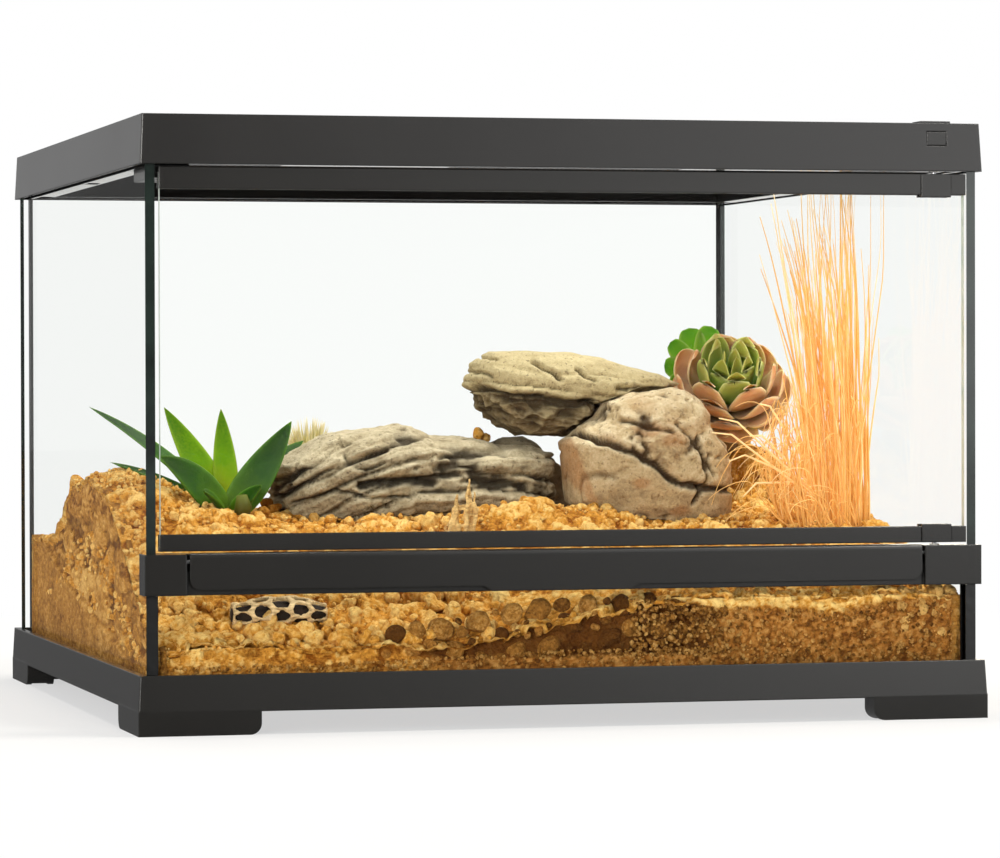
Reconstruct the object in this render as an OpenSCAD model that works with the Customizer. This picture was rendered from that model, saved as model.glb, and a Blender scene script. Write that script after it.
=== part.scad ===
// Reptile terrarium: a glass box on a raised plastic base, with a front door on a pivot hinge,
// a release flap in the front rail, a lift-out screen top and a desert landscape inside.
// Millimetres. Origin on the ground at the middle of the footprint; the door faces -Y, +Z is up.

/* [Glass box] */
// Outer width of the glass box
tank_w = 450; // [430:5:600]
// Outer depth of the glass box
tank_d = 450; // [430:5:600]
// Thickness of the fixed panes
glass_t = 5; // [4:0.5:6]
// Gap between neighbouring panes, filled with silicone
seam_gap = 0.8; // [0.4:0.1:2]
// Leg of the silicone bead inside each corner
bead = 2; // [2:0.5:5]

/* [Base frame] */
// How far the skirt stands out from the glass at its lower edge
base_out = 5; // [5:0.5:9]
// How far the skirt leans in towards its top edge
base_draft = 1; // [0:0.25:1.5]
// Height of the base frame's top edge
base_top = 31.1; // [28:0.1:40]
// Height of the skirt's lower edge between the feet
skirt_z = 12; // [8:0.5:16]
// Wall thickness of the skirt and feet
base_wall = 3; // [2:0.5:4]
// Height of the ledge that carries the glass
ledge_z = 22; // [20:0.5:24]
// Reach of that ledge, measured from the skirt's outer face
ledge_reach = 25; // [16:1:40]
// Thickness of the ledge
ledge_t = 2.5; // [2:0.5:4]
// Length of a foot along each side
foot_len = 64; // [30:1:100]
// Radius of a foot's bottom corner
foot_r = 6; // [2:0.5:7]
// Width of a foot's hollow section
foot_w = 16; // [10:1:24]

/* [Front rail and flap] */
// Height of the rail's lower edge
rail_z = 71.8; // [66:0.1:90]
// Height of the rail
rail_h = 21.1; // [20:0.1:26]
// How far the rail stands out in front of the glass
rail_out = 5; // [4.6:0.2:8]
// How far the rail wraps back along each side pane
rail_wrap = 17; // [8:1:40]
// Thickness of that wrap
wrap_t = 1.2; // [0.8:0.1:2]
// Depth of the rail inside the box
rail_in = 19; // [16:1:26]
// Distance from the left pane to the flap's left end
flap_in_left = 17; // [15:1:60]
// Distance from the door's pivot line to the flap's right end
flap_to_pivot = 9.5; // [9.5:0.5:60]
// Thickness of the flap's plate
flap_t = 2.5; // [2:0.1:3]
// Gap round the flap's ends
flap_gap = 1.8; // [1:0.1:3]
// Radius of the flap's lower corners
flap_r = 5.5; // [2:0.5:8]
// Radius of the flap's top front edge
flap_top_r = 2; // [1.8:0.1:2.4]
// Width of the finger lip in the middle of the flap
lip_w = 76; // [40:1:120]
// How far the finger lip hangs below the flap
lip_drop = 2.5; // [1:0.1:2.6]
// Where the lip's middle lies across the flap
lip_x = -6; // [-60:1:60]
// Radius of the flap's pins
flap_pin_r = 1; // [0.8:0.1:1.2]
// Length of the flap's springs
flap_spring_len = 7; // [5:0.5:9]
// Width of the air slot behind the door
vent_w = 8; // [5:0.5:9]

/* [Door] */
// Gap between the rail and the door, and between the door and the top frame
door_gap = 1.4; // [1.2:0.1:2.5]
// Height of the door with its rails
door_h = 196.9; // [150:0.1:300]
// Gap between the door's free end and the left pane
door_gap_left = 2.2; // [1:0.1:4]
// Gap between the door's hinged end and the right pane
door_gap_right = 0.7; // [0.7:0.1:2]
// Thickness of the door's glass
door_glass_t = 4; // [3:0.5:5]
// Wall of the rails that grip the door's glass
door_rail_wall = 1.5; // [1:0.1:2]
// Height of the door's lower rail
door_low_h = 8.6; // [7:0.1:14]
// Height of the door's upper rail
door_up_h = 11.2; // [8:0.1:16]
// Solid part of each rail beyond the glass edge
door_rail_web = 2.5; // [2:0.1:4]
// Distance from the right pane to the pivot line
pivot_in = 17.5; // [17.5:0.5:30]
// Radius of the pivot pins
pivot_r = 1.25; // [1:0.05:1.5]
// Outer radius of the pivot bushes
bush_r = 2; // [1.8:0.1:2.2]
// Depth of each pivot pin in its bush
pivot_depth = 7; // [5:0.5:8]
// Width of the hinge blocks
hinge_w = 16.6; // [10:0.2:22]
// How far a hinge block stands above its rail
hinge_proud = 1.2; // [0.5:0.1:3]
// Width of the magnet that holds the door shut
magnet_w = 12; // [6:1:14]

/* [Top frame] */
// How far the fascia stands out from the glass at its lower edge
top_out = 3; // [3:0.5:8]
// How far the fascia leans in towards its top edge
top_draft = 1.3; // [0:0.1:1.5]
// Height of the fascia
top_h = 25.7; // [24:0.1:40]
// Thickness of the rim's top flange
flange_t = 2.5; // [2.2:0.1:4]
// Width of the rim round the screen, from the fascia's lower edge
rim_w = 19; // [18:0.5:30]
// Extra width of the rim at the back, where the cable ports are
rear_deck = 20; // [18:1:40]
// Thickness of the ribs and inner walls
rib_t = 2; // [1.5:0.1:3]
// Reach of the seat under the screen
seat_w = 10; // [6:0.5:16]

/* [Screen] */
// Width of the screen's frame
screen_rail = 16; // [12:0.5:30]
// Thickness of the screen's frame
screen_t = 4.6; // [3:0.1:5]
// Thickness of the woven mesh
mesh_t = 0.8; // [0.5:0.1:1.5]
// Openings of the mesh along each side
mesh_cells = 15; // [4:1:17]
// Width of the bars between the mesh openings
mesh_bar = 1.2; // [0.8:0.1:2]
// Length of a screen latch along the rim
latch_len = 22; // [12:1:40]
// Width of a screen latch across the rim
latch_w = 14; // [10:0.5:14.5]
// Distance of the latches from the middle
latch_y = 130; // [40:5:150]

/* [Cable ports] */
// Length of a cable port
port_len = 40; // [20:1:44]
// Width of a cable port
port_w = 12; // [6:0.5:13]
// Distance of the ports from the middle, to their near ends
port_x = 110; // [60:1:110]

/* [Landscape] */
// Height of the level soil
soil_z = 104; // [98:1:125]
// Height of the soil at the left of the lower window
soil_front_left = 40; // [34:1:60]
// Height of the soil at the right of the lower window
soil_front_right = 64; // [34:1:66]
// Length of the soil's slope behind the lower window
soil_slope = 165; // [120:5:220]
// Height of the crumbly mound at the left pane
left_mound_h = 27; // [0:1:40]
// Height of the mound under the rosette plant
right_mound_h = 44; // [0:1:60]
// Length of the layered rock
ledge_rock_l = 161; // [80:1:170]
// Width of the boulder
boulder_w = 99; // [40:1:105]
// Length of the cap stone
cap_l = 126; // [70:1:150]
// Length of the longest leaf of the aloe
aloe_leaf = 100; // [40:1:105]
// Radius of the rosette plant
rosette_r = 37; // [15:1:40]
// Height of the dry grass
grass_h = 184; // [60:1:186]
// Number of grass stems
grass_stems = 44; // [10:1:60]

/* [Hidden] */
$fn = 48;

// Clearance between parts that stand still, and beside moving parts
fit = 0.3;
// Radial clearance of a pin that turns
run = 0.04;
// Radius of the mouldings' upright corners
corner_r = 0.8;

hw = tank_w / 2;
hd = tank_d / 2;
in_x = hw - glass_t;
in_y = hd - glass_t;
front = -hd;
front_in = -in_y;

base_hw = hw + base_out;
base_hd = hd + base_out;
pane_z0 = ledge_z + fit;
rail_top = rail_z + rail_h;
door_z0 = rail_top + door_gap;
door_z1 = door_z0 + door_h;
top_z0 = door_z1 + door_gap;
top_z1 = top_z0 + top_h;
top_hw = hw + top_out;
top_hd = hd + top_out;
pane_z1 = top_z1 - flange_t - fit;
front_face = front - rail_out;

// Front rail: groove for the lower window, and the web behind the flap
groove_top = rail_z + 8.5;
groove_roof = groove_top + 3.7;
window_z1 = groove_top - fit;
rail_skin = 1.6;
web_y = front + 1.6;
web_t = 2;
rail_inner_y = front + rail_in;
flap_top = rail_top + 0.5;
flap_bottom = rail_z + 2.6;
flap_axis_y = front - 1.5;
flap_axis_z = rail_top - 3.9;
knuckle_r = 2.5;
knuckle_len = 10;
spring_wire = 0.35;
spring_r = flap_pin_r + spring_wire + 0.45;
spring_room = flap_spring_len + 2 * fit;
pin_in_rail = 6;
nose_w = 12;
nose_x = 120;
nose_t = 1.2;
nose_reach = 2.1;
boss_wall = 3;
vent_x0 = -in_x + 39;
vent_back = 3;
strip_drop = 1;
strip_t = 0.8;
rail_wall = 2;

// Door
door_x0 = -in_x + door_gap_left;
door_x1 = in_x - door_gap_right;
door_mid_y = front + glass_t / 2;
rail_half = door_glass_t / 2 + door_rail_wall;
door_glass_z0 = door_z0 + door_rail_web;
door_glass_z1 = door_z1 - door_rail_web;
pivot_x = in_x - pivot_in;
block_half = rail_half + 0.5;
flap_left = in_x - flap_in_left;
flap_right = pivot_x - flap_to_pivot;
bush_flange = 0.6;
bush_lip = 0.5;
slot_air = 0.15;
magnet_x = -in_x + 4;

// Hinge insert, its release button and the catch for the free end
insert_y0 = front - top_out + top_wall() + 0.1;
insert_y1 = front + 13;
insert_tab = 1.2;
button_w = 10.7;
button_h = 7.2;
button_z = top_z0 + 13.8;
button_travel = 1.2;
button_back = front + 3;
button_pocket = front + 9;
button_spring_r = 2.2;
catch_l = 58;
catch_w = 19;
catch_drop = 7;
magnet_t = 3;
magnet_h = 5;
strike_t = 0.8;

// Top frame insets, measured in from the fascia's lower edge
function top_wall() = top_out - fit;
rib_in = top_out + glass_t + fit + 0.1;
wall_in = rim_w - rib_t;
slider_groove = 1.8;
slider_air = 0.1;
slider_lip = 1.2;
slider_lip_t = 0.8;
pocket_z = top_z1 - slider_groove;
slider_z = pocket_z + slider_air;
latch_air = 0.2;
seat_air = 0.1;
seat_z = slider_z - latch_air - screen_t - mesh_t - seat_air;
seat_t = 2;
screen_gap = 0.6;
screen_hw = top_hw - rim_w - screen_gap;
screen_y0 = -(top_hd - rim_w - screen_gap);
screen_y1 = top_hd - rim_w - rear_deck - screen_gap;
mesh_z0 = seat_z + seat_air;
mesh_z1 = mesh_z0 + mesh_t;
mesh_in = 2;
latch_in = 3.2;
grip_gap = 2;
pad_t = 0.8;
pad_z = top_z0 + 0.2;
port_y = top_hd - rim_w + rib_t + 2 - port_w / 2;
shutter_over = 2;
shutter_grip = 6;
shutter_w = port_w + 2 * shutter_over;
shutter_len = port_len + shutter_over + shutter_grip;
shutter_travel = port_len + shutter_over;

// ---------- helpers ----------

// A soft step from 0 at a to 1 at b
function soft(a, b, t) = let (u = min(1, max(0, (t - a) / (b - a)))) u * u * (3 - 2 * u);
function unit(v) = v / norm(v);
function bell(x, y, cx, cy, sx, sy) = exp(-(pow((x - cx) / sx, 2) + pow((y - cy) / sy, 2)));

// A box from its lowest corner to its highest corner
module block(a, b) {
    translate(a) cube(b - a);
}

// One closed mesh from everything inside
module one_mesh() {
    resize([0, 0, 0]) union() children();
}

// A rectangular ring swept from a profile of [inset, height] points; rear holds extra insets at the back
module swept_ring(half_w, half_d, profile, rear, r) {
    n = len(profile);
    points = [for (q = [0:3]) for (k = [0:3]) for (i = [0:n - 1])
        let (a = q * 90 + k * 30)
        let (sx = (q == 0 || q == 3) ? 1 : -1)
        let (sy = (q < 2) ? 1 : -1)
        let (inset_y = profile[i][0] + (sy > 0 ? rear[i] : 0))
        let (x = sx * (half_w - profile[i][0] - r) + r * cos(a))
        let (y = sy * (half_d - inset_y - r) + r * sin(a))
        [x, y, profile[i][1]]];
    faces = [for (s = [0:15]) for (i = [0:n - 1])
        let (j = (i + 1) % n)
        let (t = (s + 1) % 16)
        [s * n + i, s * n + j, t * n + j, t * n + i]];
    polyhedron(points, faces, convexity = 8);
}

// A tube swept along points, closed at both ends
module swept_tube(path, radii, sides) {
    n = len(path);
    tangents = [for (i = [0:n - 1]) unit(path[min(n - 1, i + 1)] - path[max(0, i - 1)])];
    lead = abs(tangents[0][2]) > 0.9 ? [1, 0, 0] : [0, 0, 1];
    points = [for (i = [0:n - 1]) for (k = [0:sides - 1])
        let (side = unit(cross(tangents[i], lead)))
        let (up = cross(side, tangents[i]))
        path[i] + radii[i] * (side * cos(k * 360 / sides) + up * sin(k * 360 / sides))];
    walls = [for (i = [0:n - 2]) for (k = [0:sides - 1])
        let (j = (k + 1) % sides)
        each [[i * sides + k, i * sides + j, (i + 1) * sides + j],
              [i * sides + k, (i + 1) * sides + j, (i + 1) * sides + k]]];
    first = [[for (k = [sides - 1:-1:0]) k]];
    last = [[for (k = [0:sides - 1]) (n - 1) * sides + k]];
    polyhedron(points, concat(walls, first, last), convexity = 6);
}

// ---------- glass and silicone ----------

module floor_glass() {
    e = seam_gap;
    color([0.75, 0.85, 0.82, 0.4])
        block([-in_x + e, front_in + e, pane_z0], [in_x - e, in_y - e, pane_z0 + glass_t]);
}

module left_glass() {
    color([0.75, 0.85, 0.82, 0.4]) block([-hw, front, pane_z0], [-in_x, hd, pane_z1]);
}

module right_glass() {
    mirror([1, 0, 0]) left_glass();
}

module back_glass() {
    e = seam_gap;
    color([0.75, 0.85, 0.82, 0.4]) block([-in_x + e, in_y, pane_z0], [in_x - e, hd, pane_z1]);
}

module front_glass() {
    e = seam_gap;
    color([0.75, 0.85, 0.82, 0.4]) block([-in_x + e, front, pane_z0], [in_x - e, front_in, window_z1]);
}

// The silicone between two panes at a corner, with its bead inside
module corner_seam(z0, z1) {
    color([0.05, 0.05, 0.05])
        translate([0, 0, z0])
        linear_extrude(z1 - z0)
        union() {
            translate([-in_x, in_y]) square([seam_gap, glass_t]);
            polygon([[-in_x, in_y], [-in_x, in_y - bead], [-in_x + bead, in_y]]);
        }
}

// Front seams also cover the side pane's front edge beside the lower window
module front_seam() {
    z0 = pane_z0 + glass_t + fit;
    z1 = rail_z - fit;
    mirror([0, 1, 0]) corner_seam(z0, z1);
    color([0.05, 0.05, 0.05])
        block([-hw + fit, front - 0.6, base_top + fit], [-in_x + seam_gap, front, z1]);
}

module seam_back_left() {
    corner_seam(pane_z0 + glass_t + fit, top_z0);
}

module seam_back_right() {
    mirror([1, 0, 0]) seam_back_left();
}

module seam_front_left() {
    front_seam();
}

module seam_front_right() {
    mirror([1, 0, 0]) front_seam();
}

module seam_floor() {
    e = seam_gap;
    color([0.05, 0.05, 0.05])
        translate([0, 0, pane_z0])
        linear_extrude(glass_t)
        difference() {
            square([2 * in_x, 2 * in_y], center = true);
            square([2 * (in_x - e), 2 * (in_y - e)], center = true);
        }
}

// ---------- base frame ----------

// The outline of a foot seen from the side, with its rounded bottom corner
module foot_outline() {
    difference() {
        union() {
            square([foot_len - foot_r, skirt_z + 1]);
            translate([0, foot_r]) square([foot_len, skirt_z + 1 - foot_r]);
            translate([foot_len - foot_r, foot_r]) circle(foot_r);
        }
        translate([-1, skirt_z + 1]) square([foot_len + 2, foot_r]);
    }
}

// A hollow L-shaped foot at the corner where both coordinates are negative
module foot() {
    difference() {
        union() {
            translate([-base_hw, -base_hd + foot_w, 0])
                rotate([90, 0, 0]) linear_extrude(foot_w) foot_outline();
            translate([-base_hw, -base_hd, 0])
                rotate([90, 0, 90]) linear_extrude(foot_w) foot_outline();
        }
        translate([-base_hw + base_wall, -base_hd + base_wall, -1])
            cube([foot_len - 2 * base_wall, foot_w - 2 * base_wall, skirt_z + 3]);
        translate([-base_hw + base_wall, -base_hd + base_wall, -1])
            cube([foot_w - 2 * base_wall, foot_len - 2 * base_wall, skirt_z + 3]);
    }
}

module base_frame() {
    inner = base_out - fit;
    ledge_low = ledge_z - ledge_t;
    profile = [[0, skirt_z], [base_draft, base_top], [inner, base_top], [inner, ledge_z],
        [ledge_reach, ledge_z], [ledge_reach, ledge_low], [base_wall, ledge_low], [base_wall, skirt_z]];
    rear = [for (p = profile) 0];
    color([0.16, 0.16, 0.16]) {
        swept_ring(base_hw, base_hd, profile, rear, corner_r);
        for (m = [0, 1]) mirror([m, 0, 0]) {
            foot();
            mirror([0, 1, 0]) foot();
        }
    }
}

// ---------- front rail ----------

module rail_profile() {
    y0 = front - rail_skin - fit;
    y1 = front - fit;
    y2 = front_in + fit;
    y3 = y2 + rail_wall;
    polygon([[y0, rail_z], [y0, groove_roof], [web_y, groove_roof],
        [web_y, rail_top], [rail_inner_y, rail_top],
        [rail_inner_y, groove_roof + rail_wall], [rail_inner_y - rail_wall, groove_roof + rail_wall],
        [rail_inner_y - rail_wall, rail_top - rail_wall], [web_y + web_t, rail_top - rail_wall],
        [web_y + web_t, groove_roof], [y3, groove_roof], [y3, rail_z],
        [y2, rail_z], [y2, groove_top], [y1, groove_top], [y1, rail_z]]);
}

// The rail's solid end beside the flap, from x = a out to the side wrap
module rail_end(a) {
    block([a, front_face, rail_z], [hw + fit + wrap_t, front - fit, rail_top]);
    block([a, front - 2 * fit, groove_roof], [in_x - fit, web_y + web_t, rail_top]);
    block([hw + fit, front_face, rail_z], [hw + fit + wrap_t, front_face + rail_wrap, rail_top]);
}

module front_rail() {
    color([0.16, 0.16, 0.16])
        difference() {
            union() {
                translate([-in_x + fit, 0, 0])
                    rotate([90, 0, 90]) linear_extrude(2 * (in_x - fit)) rail_profile();
                rail_end(flap_right + flap_gap);
                mirror([1, 0, 0]) rail_end(flap_left + flap_gap);
                translate([pivot_x, door_mid_y, groove_roof])
                    cylinder(r = bush_r + boss_wall, h = rail_top - groove_roof);
            }
            translate([pivot_x, door_mid_y, groove_roof - 1])
                cylinder(r = bush_r, h = rail_top - groove_roof + 2);
            for (x = [-flap_left - pin_in_rail - fit, flap_right])
                translate([x, flap_axis_y, flap_axis_z]) rotate([0, 90, 0])
                    cylinder(r = flap_pin_r, h = pin_in_rail + fit);
            vent_y = rail_inner_y - vent_back - vent_w;
            block([vent_x0, vent_y, rail_top - rail_wall - 1], [-vent_x0, vent_y + vent_w, rail_top + 1]);
        }
}

// Perforated strip under the air slot
module vent_strip() {
    y0 = web_y + web_t + fit;
    y1 = rail_inner_y - rail_wall - fit;
    x0 = vent_x0 - 6;
    pitch = 8;
    hole = [5, 6];
    holes = floor((-2 * x0 - 12) / pitch);
    color([0.12, 0.12, 0.12])
        translate([0, 0, rail_top - rail_wall - strip_drop - strip_t])
        linear_extrude(strip_t)
        difference() {
            translate([x0, y0]) square([-2 * x0, y1 - y0]);
            for (i = [0:holes - 1])
                translate([(i - holes / 2) * pitch, (y0 + y1 - hole[1]) / 2]) square(hole);
        }
}

module flap_outline() {
    w = flap_left + flap_right;
    h = flap_top - flap_bottom;
    difference() {
        union() {
            translate([flap_r, 0]) square([w - 2 * flap_r, h]);
            translate([0, flap_r]) square([w, h - flap_r]);
            translate([flap_r, flap_r]) circle(flap_r);
            translate([w - flap_r, flap_r]) circle(flap_r);
            translate([flap_left + lip_x - lip_w / 2, 0])
                polygon([[-4, 0], [0, -lip_drop], [lip_w, -lip_drop], [lip_w + 4, 0], [lip_w, 3], [0, 3]]);
        }
        translate([-1, h]) square([w + 2, 1]);
    }
}

// The flap's top front edge, taken off round
module flap_edge_cut() {
    z = flap_top - flap_top_r;
    y = front_face + flap_top_r;
    translate([-flap_left - 1, 0, 0]) rotate([90, 0, 90]) linear_extrude(flap_left + flap_right + 2)
        difference() {
            translate([front_face - 1, z]) square([flap_top_r + 1, flap_top_r + 1]);
            translate([y, z]) circle(flap_top_r);
        }
}

module flap_knuckle(x) {
    translate([x, flap_axis_y, flap_axis_z]) rotate([0, 90, 0]) cylinder(r = knuckle_r, h = knuckle_len);
    block([x, front_face + 1, flap_axis_z - knuckle_r],
        [x + knuckle_len, flap_axis_y, flap_axis_z + knuckle_r]);
}

module flap() {
    left = -flap_left + spring_room;
    right = flap_right - spring_room - knuckle_len;
    color([0.14, 0.14, 0.14])
        difference() {
            union() {
                translate([-flap_left, front_face + flap_t, flap_bottom]) rotate([90, 0, 0])
                    linear_extrude(flap_t) flap_outline();
                flap_knuckle(left);
                flap_knuckle(right);
                for (x = [-nose_x, nose_x])
                    block([x - nose_w / 2, front_face + 1, flap_top - 0.2 - nose_t],
                        [x + nose_w / 2, front_face + flap_t + nose_reach, flap_top - 0.2]);
            }
            flap_edge_cut();
            for (x = [-flap_left - 1, flap_right - spring_room])
                translate([x, flap_axis_y, flap_axis_z]) rotate([0, 90, 0])
                    cylinder(r = spring_r + spring_wire + fit, h = spring_room + 1);
            for (x = [left - 1, right - 1])
                translate([x, flap_axis_y, flap_axis_z]) rotate([0, 90, 0])
                    cylinder(r = flap_pin_r + run, h = knuckle_len + 2);
        }
}

module flap_pins() {
    reach = spring_room + knuckle_len;
    color([0.7, 0.7, 0.72])
        for (x = [-flap_left - pin_in_rail, flap_right - reach])
            translate([x, flap_axis_y, flap_axis_z]) rotate([0, 90, 0])
                cylinder(r = flap_pin_r, h = pin_in_rail + reach);
}

// A coil of wire along X, with round turns of eight rings each
module coil(x, turns, length, r) {
    rings = turns * 8;
    path = [for (i = [0:rings]) [x + length * i / rings, r * cos(i * 45), r * sin(i * 45)]];
    tube = [for (i = [0:rings]) spring_wire];
    swept_tube(path, tube, 6);
}

module flap_spring(x) {
    turns = 5;
    gap = (flap_spring_len - 2 * spring_wire) / turns - 2 * spring_wire;
    echo(str("flap spring turn gap ", gap));
    color([0.75, 0.75, 0.78])
        translate([0, flap_axis_y, flap_axis_z])
        coil(x + spring_wire, turns, flap_spring_len - 2 * spring_wire, spring_r);
}

module flap_spring_left() {
    flap_spring(-flap_left + fit);
}

module flap_spring_right() {
    flap_spring(flap_right - flap_spring_len - fit);
}

// ---------- door ----------

module door_glass() {
    color([0.75, 0.85, 0.82, 0.4])
        block([door_x0 + 0.5, door_mid_y - door_glass_t / 2, door_glass_z0],
            [door_x1 - 0.5, door_mid_y + door_glass_t / 2, door_glass_z1]);
}

// A rail that grips the glass, from z0 up to z1, with the glass edge at zg
module door_rail(z0, z1, zg, glass_above) {
    g = door_glass_t / 2;
    difference() {
        block([door_x0, door_mid_y - rail_half, z0], [door_x1, door_mid_y + rail_half, z1]);
        if (glass_above)
            block([door_x0 - 1, door_mid_y - g, zg], [door_x1 + 1, door_mid_y + g, z1 + 1]);
        else
            block([door_x0 - 1, door_mid_y - g, z0 - 1], [door_x1 + 1, door_mid_y + g, zg]);
        block([pivot_x - hinge_w / 2 - fit / 2, door_mid_y - rail_half - 1, z0 - 1],
            [pivot_x + hinge_w / 2 + fit / 2, door_mid_y + rail_half + 1, z1 + 1]);
    }
}

module door_lower_rail() {
    color([0.18, 0.18, 0.18]) door_rail(door_z0, door_z0 + door_low_h, door_glass_z0, true);
}

module door_upper_rail() {
    color([0.18, 0.18, 0.18])
        difference() {
            door_rail(door_z1 - door_up_h, door_z1, door_glass_z1, false);
            block([magnet_x - fit, door_mid_y + rail_half - strike_t, door_z1 - magnet_h - 1 - fit],
                [magnet_x + magnet_w + fit, door_mid_y + rail_half + 1, door_z1 + 1]);
        }
}

module strike_plate() {
    color([0.7, 0.7, 0.72])
        block([magnet_x, door_mid_y + rail_half - strike_t, door_z1 - magnet_h - 1],
            [magnet_x + magnet_w, door_mid_y + rail_half, door_z1]);
}

// A block that fills the rail's notch and holds the pivot pin
module hinge_block(z0, z1, zg, glass_above) {
    g = door_glass_t / 2;
    color([0.2, 0.2, 0.2])
        difference() {
            block([pivot_x - hinge_w / 2, door_mid_y - block_half, z0],
                [pivot_x + hinge_w / 2, door_mid_y + block_half, z1]);
            if (glass_above)
                block([pivot_x - hinge_w, door_mid_y - g, zg], [pivot_x + hinge_w, door_mid_y + g, z1 + 1]);
            else
                block([pivot_x - hinge_w, door_mid_y - g, z0 - 1], [pivot_x + hinge_w, door_mid_y + g, zg]);
            translate([pivot_x, door_mid_y, z0 - 1]) cylinder(r = pivot_r, h = z1 - z0 + 2);
        }
}

module lower_hinge_block() {
    hinge_block(door_z0, door_z0 + door_low_h + hinge_proud, door_glass_z0, true);
}

module upper_hinge_block() {
    hinge_block(door_z1 - door_up_h - hinge_proud, door_z1, door_glass_z1, false);
}

module pivot_pins() {
    color([0.7, 0.7, 0.72]) {
        translate([pivot_x, door_mid_y, rail_top - pivot_depth])
            cylinder(r = pivot_r, h = door_glass_z0 - rail_top + pivot_depth - slot_air);
        translate([pivot_x, door_mid_y, door_glass_z1 + slot_air])
            cylinder(r = pivot_r, h = top_z0 + pivot_depth - door_glass_z1 - slot_air);
    }
}

// A flanged bush for a pivot pin, standing on z = 0 with its flange up
module bush() {
    color([0.8, 0.78, 0.7])
        difference() {
            union() {
                translate([0, 0, -pivot_depth]) cylinder(r = bush_r, h = pivot_depth);
                cylinder(r = bush_r + bush_lip, h = bush_flange);
            }
            translate([0, 0, -pivot_depth - 1])
                cylinder(r = pivot_r + run, h = pivot_depth + bush_flange + 2);
        }
}

module lower_bush() {
    translate([pivot_x, door_mid_y, rail_top]) bush();
}

module upper_bush() {
    translate([pivot_x, door_mid_y, top_z0 + fit]) mirror([0, 0, 1]) bush();
}

// ---------- top frame ----------

// A plate that slides along X between y0 and y1, with a lip along each side; grow widens it into its groove
module slide_plate(x0, x1, y0, y1, z0, z1, grow) {
    block([x0, y0 - grow, z0], [x1, y1 + grow, z0 + slider_lip_t + grow / 3]);
    block([x0, y0 + slider_lip - grow, z0], [x1, y1 - slider_lip + grow, z1]);
}

// The groove of a screen latch in the left rim, open towards the screen
module latch_pocket(y) {
    slide_plate(-top_hw + latch_in - fit, -top_hw + rim_w + 1, y - latch_len / 2, y + latch_len / 2,
        pocket_z, top_z1 + 1, fit);
}

// The right cable port through the flange, with the groove of its shutter
module port_pocket() {
    slide_plate(port_x - shutter_over - fit, port_x - shutter_over + shutter_len + shutter_travel + fit,
        port_y - shutter_w / 2, port_y + shutter_w / 2, pocket_z, top_z1 + 1, fit);
    block([port_x, port_y - port_w / 2, top_z1 - flange_t - 1],
        [port_x + port_len, port_y + port_w / 2, top_z1 + 1]);
}

// Smooth pads that close the hollow rim from below
module rim_pads() {
    x0 = -top_hw + rib_in + 0.01;
    x1 = -top_hw + wall_in + rib_t / 2;
    for (y = [[-141, 0], [18, 185]]) {
        block([x0, y[0], pad_z], [x1, y[1], pad_z + pad_t]);
        mirror([1, 0, 0]) block([x0, y[0], pad_z], [x1, y[1], pad_z + pad_t]);
    }
    for (x = [-152, 63])
        block([x, -top_hd + rib_in + 0.01, pad_z], [x + 89, -top_hd + wall_in + rib_t / 2, pad_z + pad_t]);
}

module top_frame() {
    rib = rib_in + rib_t;
    deck = rear_deck;
    under = top_z1 - flange_t;
    low = top_z0 + fit;
    profile = [[0, top_z0], [top_draft, top_z1], [rim_w, top_z1], [rim_w, seat_z], [rim_w + seat_w, seat_z],
        [rim_w + seat_w, seat_z - seat_t], [rim_w, seat_z - seat_t], [rim_w, low], [wall_in, low],
        [wall_in, under], [rib, under], [rib, low], [rib_in, low], [rib_in, under],
        [top_wall(), under], [top_wall(), top_z0]];
    rear = [0, 0, deck, deck, deck, deck, deck, deck, deck, deck, 0, 0, 0, 0, 0, 0];
    color([0.16, 0.16, 0.16])
        difference() {
            union() {
                swept_ring(top_hw, top_hd, profile, rear, corner_r);
                rim_pads();
            }
            for (m = [0, 1]) mirror([m, 0, 0]) {
                latch_pocket(-latch_y);
                latch_pocket(latch_y);
                port_pocket();
            }
            block([pivot_x - hinge_w / 2 - fit / 2, insert_y0 - 0.1, top_z0 - 1],
                [pivot_x + hinge_w / 2 + fit / 2, insert_y1 + fit, top_z1 + 1]);
            block([pivot_x - button_w / 2 - fit, -top_hd - 1, button_z - fit],
                [pivot_x + button_w / 2 + fit, insert_y0 + 1, button_z + button_h + fit]);
        }
}

// Insert that holds the upper bush and lifts out when the button is pressed
module hinge_insert() {
    color([0.2, 0.2, 0.2])
        difference() {
            block([pivot_x - hinge_w / 2, insert_y0, top_z0 + fit],
                [pivot_x + hinge_w / 2, insert_y1, top_z1 + insert_tab]);
            translate([pivot_x, door_mid_y, top_z0 - 1]) cylinder(r = bush_r, h = pivot_depth + fit + 1.1);
            block([pivot_x - button_w / 2 - fit, insert_y0 - 1, button_z - fit],
                [pivot_x + button_w / 2 + fit, button_pocket, button_z + button_h + fit]);
        }
}

module release_button() {
    face = -top_hd + top_draft * (button_z + button_h / 2 - top_z0) / top_h + 0.1;
    color([0.18, 0.18, 0.18])
        block([pivot_x - button_w / 2, face, button_z],
            [pivot_x + button_w / 2, button_back, button_z + button_h]);
}

// Compression spring behind the button
module release_spring() {
    length = button_pocket - button_back - button_travel - 0.4 - 2 * spring_wire;
    turns = 3;
    echo(str("release spring turn gap ", length / turns - 2 * spring_wire));
    color([0.75, 0.75, 0.78])
        translate([pivot_x, button_pocket - 0.1 - spring_wire, button_z + button_h / 2])
        rotate([0, 0, -90])
        coil(0, turns, length, button_spring_r);
}

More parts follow.
